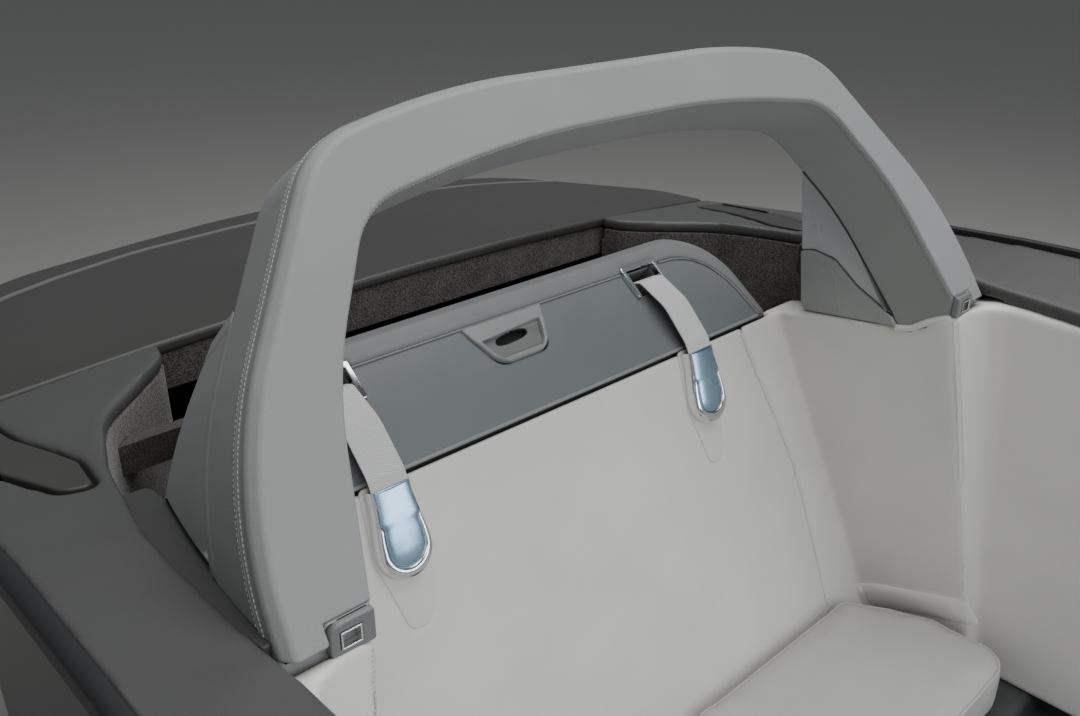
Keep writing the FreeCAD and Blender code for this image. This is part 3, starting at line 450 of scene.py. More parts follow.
for hand, first, last in on_both_legs(-9.3, 13.0):
    join_line = drawn_on(hoop_skin, round_the_hoop(FIN_JOIN - JOIN_BACK, False, first, last))
    join_line = [(place + HOOP_BEHIND * JOIN_BACK, normal) for place, normal in join_line]
    join = swept("fin_join_" + hand, join_line, JOIN_COVER, fade=2)
    finish_piece(join, hoop_grey, "tub", "hoop_leather", angle=30.0)
outer_line = drawn_on(hoop_skin, round_the_hoop(OUTER_SEAM, False, -19.5, 199.5))
inner_line = drawn_on(hoop_skin, round_the_hoop(INNER_SEAM, True, -20.0, 200.0))
for name, line, section in (("outer", outer_line, DECK_SEAM), ("inner", inner_line, PLAIN_SEAM)):
    finish_piece(swept("hoop_seam_" + name, line, section), hoop_grey, "tub", "hoop_leather", angle=30.0)
for name, line, rows, out in (
        ("outer", outer_line, (-4.6, 4.6), 0.0004), ("inner", inner_line, (-3.4,), 0.0001)):
    finish_piece(stitches("hoop_stitches_" + name, line, rows, out=out), thread, "tub", "hoop_leather")


# Fin trims: thin leather-faced panels inside each fin, with a rolled strip and a near-black cord where they
# meet the hoop's back face, and below them a moulded cover in the same grey. The near-black cords are painted
# shadow.
SIDES = (("left", -1), ("right", 1))
BACK_EDGE = 0.0978

# The trims' inner faces, in millimetres: how far out they are at one point of the side view, and how
# much they draw out to the rear and in on the way up.
TRIM_OUT = 505.0
TRIM_REAR = 256.0
TRIM_LOW = -60.0
TRIM_SPLAY = 0.132
TRIM_TILT = 0.194


def eased_node(node, coat, body, slot, amount, segments=3):
    """A node that keeps its shape, with its edges rounded and its own material."""
    piece = copy_of(node + "_skin", node)
    rounded(piece, amount, segments)
    finish_piece(piece, coat, body, slot, node, even=True)
    return piece


def moulded(name, colour, roughness=0.45, metallic=0.0, speck=1500.0, deep=0.00006):
    """Moulded plastic, paint or plated metal with a fine surface and faint wear."""
    coat = Coat(name, roughness=roughness, Metallic=metallic)
    place = coat.own_place()
    spark = coat.noise(place, speck, 3.0)
    cloud = coat.noise(place, 9.0, 4.0)
    coat.feed("Base Color", coat.node("ShaderNodeValToRGB", {"stops": (
        (0.3, shade(colour, 0.93)), (0.7, shade(colour, 1.05)))}, {"Fac": cloud}))
    coat.feed("Roughness", roughness * 0.9 + spark * roughness * 0.2)
    coat.feed("Normal", coat.node("ShaderNodeBump", {}, {"Height": spark, "Distance": deep, "Strength": 0.8}))
    return coat


def cord_section(radius, sunk=0.4, corners=10):
    """A round section that is sunk into what it lies on by a share of its radius."""
    spots = []
    for number in range(corners):
        turn = -2 * math.pi * number / corners
        spots.append((radius * math.cos(turn), radius * math.sin(turn) + radius * (1 - sunk)))
    return spots


trim_grey = leather("fin_trim_leather", (0.550, 0.562, 0.572))
strip_grey = leather("fin_strip_leather", (0.235, 0.243, 0.243))
# Near-black cords that stand in for the shadow in the join behind the hoop: painted shadow.
join_painted_shadow = moulded("fin_groove", (0.016, 0.017, 0.017), 0.6)
cover_grey = leather("fin_cover_grey", (0.365, 0.375, 0.372))
# A near-black cord along the hoop's inner back edge: a painted shadow line.
for hand, first, last in on_both_legs(-17.0, 12.9):
    back_line = drawn_on(hoop_skin, round_the_hoop(BACK_EDGE, True, first, last))
    back_edge = swept("hoop_back_edge_" + hand, back_line, cord_section(1.5, 0.6), True)
    finish_piece(back_edge, join_painted_shadow, "tub", "hoop_leather")
for hand, side in SIDES:
    trim = eased_node("fin_trim_" + hand, trim_grey, "tub", "hoop_leather", 0.003)
    cover = eased_node("fin_cover_" + hand, cover_grey, "tub", "grey_plastic", 0.003)
    trim.data.materials.append(hoop_grey.material)
    for face in trim.data.polygons:
        if face.normal.x * side > -0.6:
            face.material_index = 1
    trim_line = drawn_on(skin_of(trim), [at(side * 480, y, z) for y, z in ((252, 117), (231, 63), (212, 16))])
    trim_seam = swept("fin_trim_seam_" + hand, trim_line, PLAIN_SEAM)
    finish_piece(trim_seam, trim_grey, "tub", "hoop_leather", angle=30)
    cover_line = drawn_on(skin_of(cover), [at(side * 484, y, z) for y, z in (
        (229, 1), (205, -3), (194, -12), (188, -24), (184, -50), (181, -76))])
    cover_seam = swept("fin_cover_seam_" + hand, cover_line, PLAIN_SEAM)
    finish_piece(cover_seam, cover_grey, "tub", "grey_plastic", angle=30)
    facing_in = Vector((-side, TRIM_SPLAY, -TRIM_TILT)).normalized()
    for name, behind, top, section, coat in (
            ("fin_strip_", 107.0, 244, cord_section(5.0, 1.45, 16), strip_grey),
            ("fin_groove_", 101.2, 262, cord_section(1.8, 0.8), join_painted_shadow)):
        spots = []
        for up in range(12, top, 10):
            spot = HOOP_UP * up + HOOP_BEHIND * behind
            out = TRIM_OUT + TRIM_SPLAY * (spot.y - TRIM_REAR) - TRIM_TILT * (spot.z - TRIM_LOW)
            spots.append(at(side * out, spot.y, spot.z))
        strip = swept(name + hand, [(place, facing_in) for place in evenly(spots, 0.004)], section, True)
        finish_piece(strip, coat, "tub", "hoop_leather")


# Foot caps: moulded plastic guides that close the front of the foot of each hoop leg, with a
# polished lip round a blind slot.
cap_grey = moulded("cap_plastic", (0.168, 0.173, 0.172), 0.42)
chrome = moulded("chrome_plate", (0.82, 0.83, 0.84), 0.10, 1.0, 400.0, 0.000004)
eased_node("foot_caps", cap_grey, "tub", "grey_plastic", 0.0022)
eased_node("cap_lips", chrome, "tub", "chrome", 0.0005, 2)


# Luggage hatch: a moulded core with a wrapped leather band across it, a padded roll with a thin
# piping line round its edge, and a moulded grip with a raised rim, a sunk ramp and a finger hole.
HATCH_LEAN = math.radians(51.0)
HATCH_FOOT_REAR = 291.5
HATCH_FOOT_UP = -99.0

# The grip's plate, in millimetres on the hatch's face: its foot and top, half its width at the foot
# and what it gains to the top, the round of its lower corners, its thickness and its edge's round.
GRIP_LOW = 74.0
GRIP_TOP = 139.0
GRIP_HALF = 44.0
GRIP_GAIN = 27.0
GRIP_ROUND = 20.0
GRIP_THICK = 4.2
GRIP_EDGE = 3.5
GRIP_ROWS = 110
GRIP_COLUMNS = 200

# Its raised rim: its height, how far in from the plate's edge it is, its width, and the height up
# the face where it ends and over which it fades out.
RIM_HEIGHT = 1.6
RIM_INSET = 5.0
RIM_WIDTH = 2.8
RIM_TOP = 122.0
RIM_FADE = 14.0

# Its ramp sinks between two distances from the plate's edge, a little at its foot and more over a
# stretch of its way up. Ramp and finger hole are a little higher on the right.
RAMP_EDGE = (7.5, 11.0)
RAMP_TOP = 117.0
RAMP_DEPTH = 1.6
RAMP_FALL = 4.4
RAMP_STRETCH = (82.0, 104.0)
RAMP_LINED = (81.5, 114.5)
SLANT = 0.06

# Its finger hole is a slot with rounded ends: its middle, half its width and height, and its depth.
HOLE_X = -1.0
HOLE_UP = 108.5
HOLE_HALF_WIDTH = 28.0
HOLE_HALF_HEIGHT = 7.4
HOLE_POWER = 2.6
HOLE_DEPTH = 11.0

# The right end of the roll's piping line: millimetres to the side, and up the hatch's face.
PIPING_CORNER = ((322, 140.5), (356, 139), (390, 129), (416, 108), (432, 78), (438, 60), (446, 2))


def on_hatch(x, up, out=0.0):
    """A place on the hatch's face: to the side, up the slope from its foot, and out of it (mm)."""
    return at(x, HATCH_FOOT_REAR + up * math.sin(HATCH_LEAN) - out * math.cos(HATCH_LEAN),
              HATCH_FOOT_UP + up * math.cos(HATCH_LEAN) + out * math.sin(HATCH_LEAN))


def softened(piece, voxel, passes):
    """A wrapped shape: one closed skin of small faces whose edges are eased."""
    apply(piece, "REMESH", mode="VOXEL", voxel_size=voxel)
    apply(piece, "SMOOTH", iterations=passes, factor=0.5)


roll_grey = leather("roll_leather", (0.162, 0.170, 0.168))
band_grey = leather("band_leather", (0.138, 0.150, 0.155))
grip_grey = moulded("grip_plastic", (0.220, 0.227, 0.225), 0.38)
core_grey = moulded("core_plastic", (0.10, 0.105, 0.105), 0.5)
# Near-black copy of the grip plastic for the inside of the finger hole: painted shade in the recess.
grip_hole_painted_shade = moulded("grip_hollow_painted_shade", (0.012, 0.012, 0.012), 0.6)
ramp_grey = moulded("grip_ramp", (0.125, 0.129, 0.127), 0.55, speck=900.0, deep=0.0003)
eased_node("hatch_core", core_grey, "hatch", "grey_plastic", 0.0012, 2)
eased_node("hatch_band", band_grey, "hatch", "band_leather", 0.0016, 3)
roll = copy_of("hatch_roll_padded", "hatch_roll")
softened(roll, 0.0032, 10)
finish_piece(roll, roll_grey, "hatch", "hoop_leather", "hatch_roll", angle=60.0)


def grip_half(up):
    """Half width of the grip's plate: its sides slant and its two lower corners are round."""
    slant = GRIP_HALF + GRIP_GAIN * (up - GRIP_LOW) / (GRIP_TOP - GRIP_LOW)
    drop = max(0.0, 1.0 - (up - GRIP_LOW) / GRIP_ROUND)
    return slant - GRIP_ROUND * (1.0 - math.sqrt(max(0.0, 1.0 - drop * drop)))


def eased_step(value, low, high):
    """From 0 at the low value to 1 at the high one, with no corner at either."""
    share = min(1.0, max(0.0, (value - low) / (high - low)))
    return share * share * (3 - 2 * share)


def in_finger_hole(x, up):
    """How far a place on the grip is inside its finger hole, from 0 to 1."""
    across = abs((x - HOLE_X) / HOLE_HALF_WIDTH)
    above = abs((up - HOLE_UP - SLANT * x) / HOLE_HALF_HEIGHT)
    reach = (across ** HOLE_POWER + above ** HOLE_POWER) ** (1 / HOLE_POWER)
    return eased_step(1.0 - reach, -0.04, 0.12)


def grip_height(x, up):
    """How far the grip stands out of the band: flat plate, raised rim, sunk ramp and finger hole."""
    edge = min(grip_half(up) - abs(x), up - GRIP_LOW + 0.2)
    height = GRIP_THICK * math.sqrt(max(0.0, 1.0 - (1.0 - min(1.0, edge / GRIP_EDGE)) ** 2))
    lower = eased_step(RIM_TOP - up, 0.0, RIM_FADE)
    height += lower * RIM_HEIGHT * math.exp(-((edge - RIM_INSET) / RIM_WIDTH) ** 2)
    sunk = eased_step(edge, *RAMP_EDGE) * eased_step(RAMP_TOP + SLANT * x - up, -1.0, 2.0)
    height -= sunk * (RAMP_DEPTH + RAMP_FALL * eased_step(up, *RAMP_STRETCH))
    return height - in_finger_hole(x, up) * HOLE_DEPTH


corners = []
for row in range(GRIP_ROWS):
    up = GRIP_LOW + (GRIP_TOP - GRIP_LOW) * row / (GRIP_ROWS - 1)
    for column in range(GRIP_COLUMNS):
        x = grip_half(up) * (2.0 * column / (GRIP_COLUMNS - 1) - 1.0)
        border = row in (0, GRIP_ROWS - 1) or column in (0, GRIP_COLUMNS - 1)
        corners.append((x, up, -1.5 if border else grip_height(x, up)))
faces = []
for row in range(GRIP_ROWS - 1):
    for column in range(GRIP_COLUMNS - 1):
        here = row * GRIP_COLUMNS + column
        faces.append((here, here + 1, here + GRIP_COLUMNS + 1, here + GRIP_COLUMNS))
handle = new_piece("hatch_grip", [on_hatch(*corner) for corner in corners], faces)
finish_piece(handle, grip_grey, "hatch", "grey_plastic", "hatch_handle", angle=60.0)
# The finger hole's faces take the near-black copy: painted shade.
handle.data.materials.append(grip_hole_painted_shade.material)
handle.data.materials.append(ramp_grey.material)
for face in handle.data.polygons:
    x, up, _ = (sum(part) / 4.0 for part in zip(*(corners[corner] for corner in face.vertices)))
    if in_finger_hole(x, up) > 0.02:
        face.material_index = 1
    elif eased_step(grip_half(up) - abs(x), *RAMP_EDGE) > 0.6 and RAMP_LINED[0] < up < RAMP_LINED[1]:
        face.material_index = 2

piping_grey = leather("piping_leather", (0.235, 0.247, 0.245))
hatch_out = (on_hatch(0, 0, 1000) - on_hatch(0, 0)).normalized()
for name, spots in (
        ("left", [(-x, up) for x, up in reversed(PIPING_CORNER)]),
        ("middle", ((-237, 140.5), (0, 140.5), (237, 140.5))),
        ("right", PIPING_CORNER)):
    line = smoothed(evenly([on_hatch(x, up, 0.6) for x, up in spots], 0.004), 8)
    line = [(place, hatch_out) for place in line]
    piping = swept("hatch_piping_" + name, line, cord_section(1.3, 0.5, 8), True)
    finish_piece(piping, piping_grey, "hatch", "hoop_leather")
lip_line = evenly([on_hatch(-444, 0.5, -1.0), on_hatch(444, 0.5, -1.0)], 0.008)
lip_line = [(place, hatch_out) for place in lip_line]
lip = swept("hatch_band_lip", lip_line, cord_section(2.6, 1.0, 12), True)
finish_piece(lip, piping_grey, "hatch", "band_leather")


# Strap frames and straps: polished frames on the hatch guide two bands of seat webbing, woven of
# pale yarn, which run over its edge and down to the clasps.
STRAP_X = 277.0
STRAP_STEP = 0.003

# A strap's route in side view, from its frame to its clasp: to the rear, up, and the bend's radius.
STRAP_ROUTE = ((402, -66, 0), (392, -26, 8), (374, -20, 8), (325, -44, 60), (283, -88, 40), (268, -118, 0))

# Its section: to one side, and out from its inner face.
STRAP_SECTION = ((-25, 0.4), (-24.6, 0), (24.6, 0), (25, 0.4), (25, 1.9), (24.4, 2.4), (20, 2.5), (0, 2.7),
                 (-20, 2.5), (-24.4, 2.4), (-25, 1.9))

# Widths in the weave, in metres: one leg of the herringbone, from rib to rib, and from yarn to yarn.
HERRINGBONE = 0.00625
RIB = 0.0034
YARN = 0.0025


def eased_route(corners, turns=7):
    """A side view route with its corners rounded, as places in millimetres to the rear and up."""
    route = [Vector(corners[0][:2])]
    for before, corner, after in zip(corners, corners[1:], corners[2:]):
        spot, radius = Vector(corner[:2]), corner[2]
        into = (spot - Vector(before[:2])).normalized()
        out = (Vector(after[:2]) - spot).normalized()
        run = radius * math.tan(into.angle(out) / 2)
        start, end = spot - into * run, spot + out * run
        for number in range(turns + 1):
            share = number / turns
            route.append(start.lerp(spot, share).lerp(spot.lerp(end, share), share))
    route.append(Vector(corners[-1][:2]))
    return route


def woven(name, colour, dark):
    """Seat webbing: a herringbone twill that follows the band's own UV."""
    coat = Coat(name, roughness=0.72, Sheen_Weight=0.15)
    uv = coat.node("ShaderNodeUVMap", {"uv_map": "band"}, {})
    split = coat.node("ShaderNodeSeparateXYZ", {}, {"Vector": uv})
    across_band = Wire(coat, split.socket.node.outputs[0])
    along_band = Wire(coat, split.socket.node.outputs[1])
    zigzag = abs(across_band % (HERRINGBONE * 2) - HERRINGBONE)
    twill = ((along_band + zigzag * 0.7) * (2 * math.pi / RIB)).wave() * 0.5 + 0.5
    rows = (across_band * (2 * math.pi / YARN)).wave() * 0.5 + 0.5
    height = twill * 0.6 + rows * 0.4
    fuzz = coat.noise(coat.own_place(), 1400.0, 3.0)
    coat.feed("Base Color", coat.node("ShaderNodeValToRGB", {"stops": ((0.10, dark), (0.75, colour))},
                                      {"Fac": height * 0.8 + fuzz * 0.25}))
    coat.feed("Normal", coat.node("ShaderNodeBump", {}, {"Height": height + fuzz * 0.3, "Distance": 0.0003}))
    return coat


webbing = woven("webbing", (0.64, 0.64, 0.63), (0.41, 0.41, 0.40))
eased_node("strap_frames", chrome, "hatch", "chrome", 0.0018, 4)
for hand, side in SIDES:
    spine = [at(side * STRAP_X, y, z) for y, z in eased_route(STRAP_ROUTE)]
    normals = []
    for number in range(len(spine)):
        onward = spine[min(number + 1, len(spine) - 1)] - spine[max(number - 1, 0)]
        normals.append(Vector((1, 0, 0)).cross(onward).normalized())
    band_line = []
    for place in evenly(spine, STRAP_STEP):
        nearest = min(range(len(spine)), key=lambda number: (spine[number] - place).length)
        band_line.append((place, normals[nearest]))
    strap = swept("strap_webbing_" + hand, band_line, [(-a, b - 2.4) for a, b in STRAP_SECTION], True)
    uv = strap.data.uv_layers.new(name="band")
    for loop in strap.data.loops:
        row, column = divmod(loop.vertex_index, len(STRAP_SECTION))
        uv.data[loop.index].uv = (STRAP_SECTION[column][0] / 1000.0 + 0.05, row * STRAP_STEP)
    finish_piece(strap, webbing, "hatch", "webbing", "strap_" + hand, angle=30.0)


# Clasps: pressed and polished shells at the straps' lower ends, each with a satin metal face let
# into it. They hang over the backrest's docks.
BACK_LEAN = math.radians(20.7)
BACK_FOOT_REAR = 86.0
BACK_FOOT_UP = -640.0

# The clasp's outline in millimetres on the backrest's plane: its top, its foot, half its width at
# the foot, and the length of one step along it.
CLASP_TOP = 571.0
CLASP_LOW = 459.0
CLASP_HALF = 35.5
CLASP_MIDDLE = CLASP_LOW + CLASP_HALF
CLASP_STEP = 2.977

# Half its width at distances below its top.
CLASP_NECK = ((27.4, 0), (28.0, 18), (29.6, 32), (32.0, 46), (34.4, 60))

# Rings of the shell, of its rim and of the face: how far each is moved in from an outline, and how
# far it stands out of the backrest.
SHELL_RINGS = ((0, 0.5), (0, 11.0), (0.5, 13.2), (1.5, 14.8), (3.2, 15.9))
RIM_RINGS = ((3.5, 16.8), (7.0, 17.2), (10.5, 16.7), (12.0, 15.6), (12.6, 14.6))
FACE_RINGS = ((0.5, 14.4), (0.6, 16.6), (1.2, 17.6), (2.4, 18.1), (5.0, 18.7), (9.0, 19.3), (14.0, 19.7),
              (22.0, 19.9))

# The face is bowed along its length: how far it falls back at a distance from its middle.
FACE_MIDDLE = 530.0
FACE_BOW = 1.7
FACE_BOW_AT = 50.0


def on_back(x, up, out=0.0):
    """A place on the backrest's face: to the side, up from its foot, and out of it (mm)."""
    return at(x, BACK_FOOT_REAR + up * math.sin(BACK_LEAN) - out * math.cos(BACK_LEAN),
              BACK_FOOT_UP + up * math.cos(BACK_LEAN) + out * math.sin(BACK_LEAN))


# The satin metal's blue tint is a painted reflection of the cool sky.
satin = moulded("satin_metal", (0.365, 0.515, 0.677), 0.28, 1.0, 700.0, 0.000012)


def clasp_edge():
    """The clasp's outline about its strap's middle line: straight top, narrow neck, round foot."""
    right = [(half, CLASP_TOP - drop) for half, drop in CLASP_NECK] + [(CLASP_HALF, CLASP_MIDDLE)]
    foot = []
    for degrees in range(10, 180, 10):
        turn = math.radians(degrees)
        foot.append((CLASP_HALF * math.cos(turn), CLASP_MIDDLE - CLASP_HALF * math.sin(turn)))
    edge = right + foot + [(-x, up) for x, up in reversed(right)]
    return [spot.to_2d() for spot in evenly([Vector((x, up, 0)) for x, up in edge], CLASP_STEP)]


def clasp_ring(inset, out, edge, full=True):
    """The outline moved in, all round or by a width that grows from the neck to the round foot."""
    ring = []
    for spot in edge:
        spine = Vector((0.0, min(max(spot.y, CLASP_MIDDLE), CLASP_TOP - 4.0)))
        inward = spine - spot
        share = 1.0
        if not full:
            drop = (CLASP_TOP - 38.0 - spot.y) / (CLASP_TOP - 38.0 - CLASP_LOW)
            share = eased_step(drop, 0.0, 0.12) * (0.46 + 0.54 * max(0.0, drop) ** 2)
        step = inward.normalized() * min(inset * share, inward.length * 0.96)
        ring.append((spot.x + step.x, spot.y + step.y, out))
    return ring


def as_edge(ring):
    """A ring's places on the plane, as the outline that the next rings are moved in from."""
    return [Vector(spot[:2]) for spot in ring]


def lofted(name, rings, shift, capped):
    """A skin through closed rings of places on the backrest's plane."""
    corners = [on_back(x + shift, up, out) for ring in rings for x, up, out in ring]
    width = len(rings[0])
    faces = []
    for row in range(len(rings) - 1):
        for column in range(width):
            here, beside = row * width + column, row * width + (column + 1) % width
            faces.append((here, beside, beside + width, here + width))
    if capped:
        faces.append(tuple(range((len(rings) - 1) * width, len(rings) * width)))
    piece = new_piece(name, corners, faces)
    chosen(piece)
    bpy.ops.object.mode_set(mode="EDIT")
    bpy.ops.mesh.select_all(action="SELECT")
    bpy.ops.mesh.normals_make_consistent(inside=False)
    bpy.ops.object.mode_set(mode="OBJECT")
    return piece


edge = clasp_edge()
rim_rings = [clasp_ring(inset, out, edge) for inset, out in SHELL_RINGS]
shoulder = as_edge(rim_rings[-1])
rim_rings += [clasp_ring(inset, out, shoulder, False) for inset, out in RIM_RINGS]
inner_edge = as_edge(rim_rings[-1])
face_rings = [clasp_ring(inset, out, inner_edge) for inset, out in FACE_RINGS]
face_rings = [[(x, up, out - FACE_BOW * ((up - FACE_MIDDLE) / FACE_BOW_AT) ** 2) for x, up, out in ring]
              for ring in face_rings]
for hand, side in SIDES:
    rim = lofted("clasp_rim_" + hand, rim_rings, side * STRAP_X, False)
    face = lofted("clasp_face_" + hand, face_rings, side * STRAP_X, True)
    finish_piece(rim, chrome, "hatch", "chrome", angle=50.0)
    finish_piece(face, satin, "hatch", "satin_metal", angle=50.0)
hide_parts("clasps")
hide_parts("clasp_faces")


# Backrest: a foam panel in cream leather, its top edge rolled under the hatch, with two shallow
# docks for the clasps and piping down each side where it meets the side trim.
cream = leather("cream_leather", (0.690, 0.680, 0.640), roughness=0.46)

# Its right edge, where the piping goes: to the side, and up its face, in millimetres.
BACKREST_SIDE = ((393, 562), (400, 530), (416, 470), (436, 400), (450, 330), (457, 250), (460, 120),
                 (461, 30))

backrest = copy_of("backrest_padded", "backrest")
softened(backrest, 0.0042, 5)
back_skin = skin_of(backrest)
finish_piece(backrest, cream, "tub", "cream_leather", "backrest", angle=60.0)
docks = copy_of("dock_pads_padded", "dock_pads")
rounded(docks, 0.0014, 3)
finish_piece(docks, cream, "tub", "cream_leather", "dock_pads")
for hand, side in SIDES:
    edge = drawn_on(back_skin, [on_back(side * x, up, 2) for x, up in BACKREST_SIDE], eased=8)
    piping = swept("backrest_piping_" + hand, edge, cord_section(2.4, 0.7), True)
    finish_piece(piping, cream, "tub", "cream_leather")


# Side trims: padded panels in cream leather from the door post to the backrest, with a stitched seam
# down the rounded corner by the hoop's foot and a padded moulding above the seat pad.
side_cream = leather("side_cream_leather", (0.745, 0.736, 0.702), roughness=0.46)

# The corner, in millimetres: its place under the hoop's foot and its run down to the floor.
CORNER_TOP = (470.0, -9.0, 0.0)
CORNER_RUN = (91.5, -91.0, -640.0)
STITCHED_PERCENT = 55
FOOT_EDGE_OUT = Vector((-0.86, 0.0, 0.51))

# The padded moulding's section: millimetres to one side, and outward.
MOULDING = ((-50, -1.0), (-46, 1.2), (-38, 4.0), (-28, 5.6), (-16, 5.8), (-8, 5.0), (-3, 2.8), (-0.8, 0.7),
            (0, -0.7), (0.9, 0.5), (2.6, 0.4), (4.5, -0.4))


def mirrored(piece, name):
    """The same piece for the other side of the car."""
    mesh = piece.data.copy()
    twin = bpy.data.objects.new(name, mesh)
    scene.collection.objects.link(twin)
    for vertex in mesh.vertices:
        vertex.co.x = -vertex.co.x
    mesh.flip_normals()
    return twin


side_trim = copy_of("side_trim_padded_right", "side_trim_right")
softened(side_trim, 0.0045, 8)
side_left = mirrored(side_trim, "side_trim_padded_left")
side_skin = skin_of(side_trim)
finish_piece(side_trim, side_cream, "tub", "cream_leather", "side_trim_right", angle=60.0)
finish_piece(side_left, side_cream, "tub", "cream_leather", "side_trim_left", angle=60.0)
corner_line = drawn_on(side_skin, [at(*(top + run * share for top, run in zip(CORNER_TOP, CORNER_RUN)))
                                   for share in (0.05, 0.2, 0.35, 0.5, 0.65, 0.78)], eased=8)
stitched_line = corner_line[:len(corner_line) * STITCHED_PERCENT // 100]
moulding_line = drawn_on(side_skin, [at(x, y, z) for x, y, z in (
    (562, 166, -611), (558, 126, -584), (554.5, 83, -559.5), (550.5, 10, -532), (547.6, -49, -511),
    (546.5, -75, -501))], eased=4)
foot_line = smoothed(evenly([at(x, y, z) for x, y, z in (
    (495, -4, -39.0), (490.5, -1, -33.5), (487, 3, -30.5), (485, 7.5, -30.8), (484.5, 20, -36.8),
    (484, 34, -44.0), (485, 58, -61.8), (483.4, 80, -66.5))], 0.003), 3)
foot_line = [(place, FOOT_EDGE_OUT) for place in foot_line]
trim_pieces = (
    (swept("side_trim_seam_right", corner_line, [(a, b * 0.6) for a, b in PLAIN_SEAM], fade=20), side_cream),
    (stitches("side_trim_stitches_right", stitched_line, (-3.6, 3.6), out=0.0002), thread),
    (swept("side_trim_moulding_right", moulding_line, MOULDING, fade=9), side_cream),
    (swept("side_trim_foot_edge_right", foot_line, cord_section(5.0, 1.0, 14), True), side_cream))
for piece, coat in trim_pieces:
    twin = mirrored(piece, piece.name.replace("right", "left"))
    finish_piece(piece, coat, "tub", "cream_leather")
    finish_piece(twin, coat, "tub", "cream_leather")


# Seat pads: foam cushions in cream leather, crowned by the filling that presses against the cover,
# with a piped seam round the top. The cover is blown out from a slightly smaller shape.
PAD_SHRINK = 0.0045
PAD_PRESSURE = 4.0
PAD_SWELL = 0.007
PAD_FRAMES = 20
# The pads' leather is a darker copy of the cream: painted shade from the side trims that stand over them.
pad_cream_painted_shade = leather("pad_leather", (0.440, 0.434, 0.412), roughness=0.46)
pad = copy_of("pad_cushion_right", "pad_right")
pad_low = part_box("pad_right")[0]
softened(pad, 0.006, 6)
for vertex in pad.data.vertices:
    vertex.co -= vertex.normal * PAD_SHRINK
rest_places = [vertex.co.copy() for vertex in pad.data.vertices]
chosen(pad)
cloth = pad.modifiers.new("foam", "CLOTH")
cloth.settings.use_pressure = True
cloth.settings.uniform_pressure_force = PAD_PRESSURE
cloth.settings.effector_weights.gravity = 0.0
cloth.point_cache.frame_start = 1
cloth.point_cache.frame_end = PAD_FRAMES
for number in range(1, PAD_FRAMES + 1):
    scene.frame_set(number)
bpy.ops.object.modifier_apply(modifier="foam")
for vertex, place in zip(pad.data.vertices, rest_places):
    moved = vertex.co - place
    if moved.length > PAD_SWELL:
        vertex.co = place + moved.normalized() * PAD_SWELL
    vertex.co.z = max(vertex.co.z, pad_low.z + 0.0005)
scene.frame_set(1)
apply(pad, "SMOOTH", iterations=3, factor=0.5)
apply(pad, "SUBSURF", levels=1, render_levels=1)
pad_skin = skin_of(pad)
pad_left = mirrored(pad, "pad_cushion_left")
finish_piece(pad, pad_cream_painted_shade, "tub", "cream_leather", "pad_right", angle=60.0)
finish_piece(pad_left, pad_cream_painted_shade, "tub", "cream_leather", "pad_left", angle=60.0)
pad_line = drawn_on(pad_skin, [at(x, y, z) for x, y, z in (
    (84, 98, -556), (440, 98, -556), (478, 86, -558), (508, 52, -558), (532, 6, -558), (548, -40, -558),
    (549, -90, -558), (540, -135, -558), (505, -163, -558), (440, -171, -558), (300, -171, -558),
    (84, -171, -558))], eased=6)
pad_piping = swept("pad_piping_right", pad_line, cord_section(2.4, 0.6), True)
pad_piping_left = mirrored(pad_piping, "pad_piping_left")
finish_piece(pad_piping, pad_cream_painted_shade, "tub", "cream_leather")
finish_piece(pad_piping_left, pad_cream_painted_shade, "tub", "cream_leather")


# Carpets: short brown-grey cut pile, glued over the tunnel and the roof well's walls, floor and
# beam, and hung as a strip under the lid's front edge.
def pile(name, dark, light):
    """Cut pile: tufts about two millimetres wide, in worn and fresher patches."""
    coat = Coat(name, roughness=0.95, Sheen_Weight=0.25)
    place = coat.own_place()
    tuft = coat.noise(place, 430.0, 4.0, 0.7)
    patch = coat.noise(place, 30.0, 3.0)
    fleck = coat.node("ShaderNodeTexVoronoi", {"feature": "F1"}, {"Vector": place, "Scale": 460.0})
    coat.feed("Base Color", coat.node("ShaderNodeValToRGB", {"stops": ((0.41, dark), (0.59, light))},
                                      {"Fac": tuft * 0.85 + patch * 0.15}))
    coat.feed("Normal", coat.node("ShaderNodeBump", {}, {"Height": tuft + fleck * 0.5, "Distance": 0.0012}))
    return coat


carpet = pile("carpet_pile", (0.020, 0.018, 0.016), (0.150, 0.136, 0.124))
for node in ("tunnel_cover", "well_lining_left", "well_lining_right"):
    eased_node(node, carpet, "tub", "carpet", 0.002, 2)
eased_node("lid_carpet", carpet, "lid", "carpet", 0.0016, 2)


def dress(coat, *nodes):
    """Gives nodes that are shown as they are their material."""
    for node in nodes:
        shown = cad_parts[node]
        shown.data.materials.clear()
        shown.data.materials.append(coat.material)


# The beam's carpet is a darker copy of the same pile: painted shade under the hatch.
beam_carpet_painted_shade = pile("beam_carpet_pile_painted_shade", (0.018, 0.015, 0.013), (0.060, 0.050, 0.043))
dress(carpet, "well_floor")
dress(beam_carpet_painted_shade, "hatch_beam")


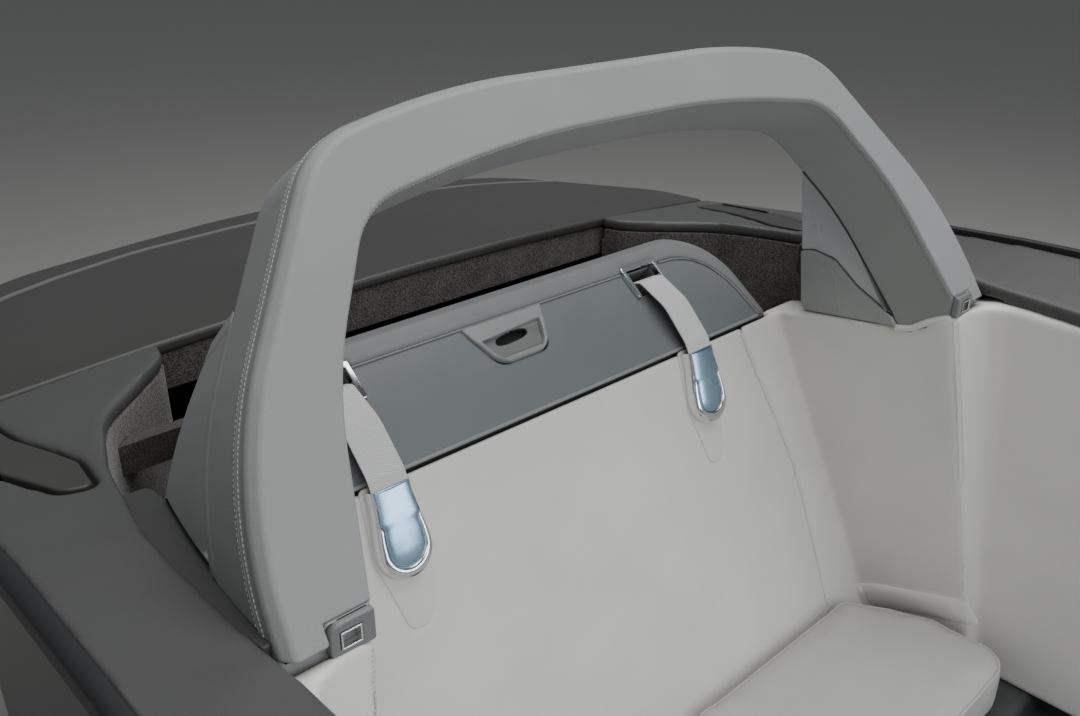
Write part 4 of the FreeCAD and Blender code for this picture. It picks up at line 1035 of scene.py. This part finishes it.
# Decks: dark leather on moulded panels beside the hoop, rolled over at the roof well, each with a
# small flap in a pocket. Black rubber seals the waist, and a dark strip closes each fin's foot.
deck_grey = leather("deck_leather", (0.067, 0.068, 0.0660), roughness=0.42, deep=0.0002)
lid_grey = leather("lid_leather", (0.044, 0.0440, 0.0405), roughness=0.43, deep=0.0002)
base_grey = leather("fin_base_leather", (0.044, 0.0445, 0.0435))
black_rubber = moulded("black_rubber", (0.012, 0.012, 0.013), 0.55)
for hand, _ in SIDES:
    deck = copy_of("deck_panel_" + hand, "quarter_deck_" + hand)
    softened(deck, 0.0032, 22)
    finish_piece(deck, deck_grey, "tub", "deck_leather", "quarter_deck_" + hand, angle=60.0)
    eased_node("side_flap_" + hand, lid_grey, "flap_" + hand, "deck_leather", 0.0028, 4)
eased_node("waist_seals", black_rubber, "tub", "black_rubber", 0.003, 3)
eased_node("fin_bases", base_grey, "tub", "black_rubber", 0.0015, 2)


# Deck lid: one wide leather-covered panel over the roof well, hinged at its rear edge, with a
# rolled edge and a shallow crease that runs near it. The crease is in a lighter copy of the lid's leather: a
# painted highlight along its ridge.
crease_painted_highlight = leather("crease_leather", (0.115, 0.117, 0.112), roughness=0.5)

# The right half of the crease in plan, and its section: millimetres to one side, and outward.
CREASE_HALF = ((93, 978), (263, 973), (386, 950), (467, 927), (560, 880))
CREASE = ((-9, -0.3), (-4, 0.5), (-1.2, 1.0), (0, 0.2), (1.2, 1.0), (4, 0.5), (9, -0.3))

lid = copy_of("deck_lid_wrapped", "deck_lid")
rounded(lid, 0.0065, 5, 40.0)
lid_skin = skin_of(lid)
finish_piece(lid, lid_grey, "lid", "deck_leather", "deck_lid", even=True)
crease_spots = [(-x, y) for x, y in reversed(CREASE_HALF)] + list(CREASE_HALF)
crease_line = drawn_on(lid_skin, [at(x, y, 10) for x, y in crease_spots], step=0.006, eased=12)
finish_piece(swept("deck_lid_crease", crease_line, CREASE), crease_painted_highlight, "lid", "deck_leather", angle=30.0)


# Tub: pressed and painted sheet steel, with the seat shelf, the bulkhead, the hoop's carriers and
# the lid's knuckles and brackets.
tub_paint = moulded("tub_paint", (0.05, 0.054, 0.055), 0.38)
dress(tub_paint, "floor_pan", "tub_wall", "bulkhead", "seat_shelf", "hoop_carriers", "lid_knuckles",
      "lid_brackets")
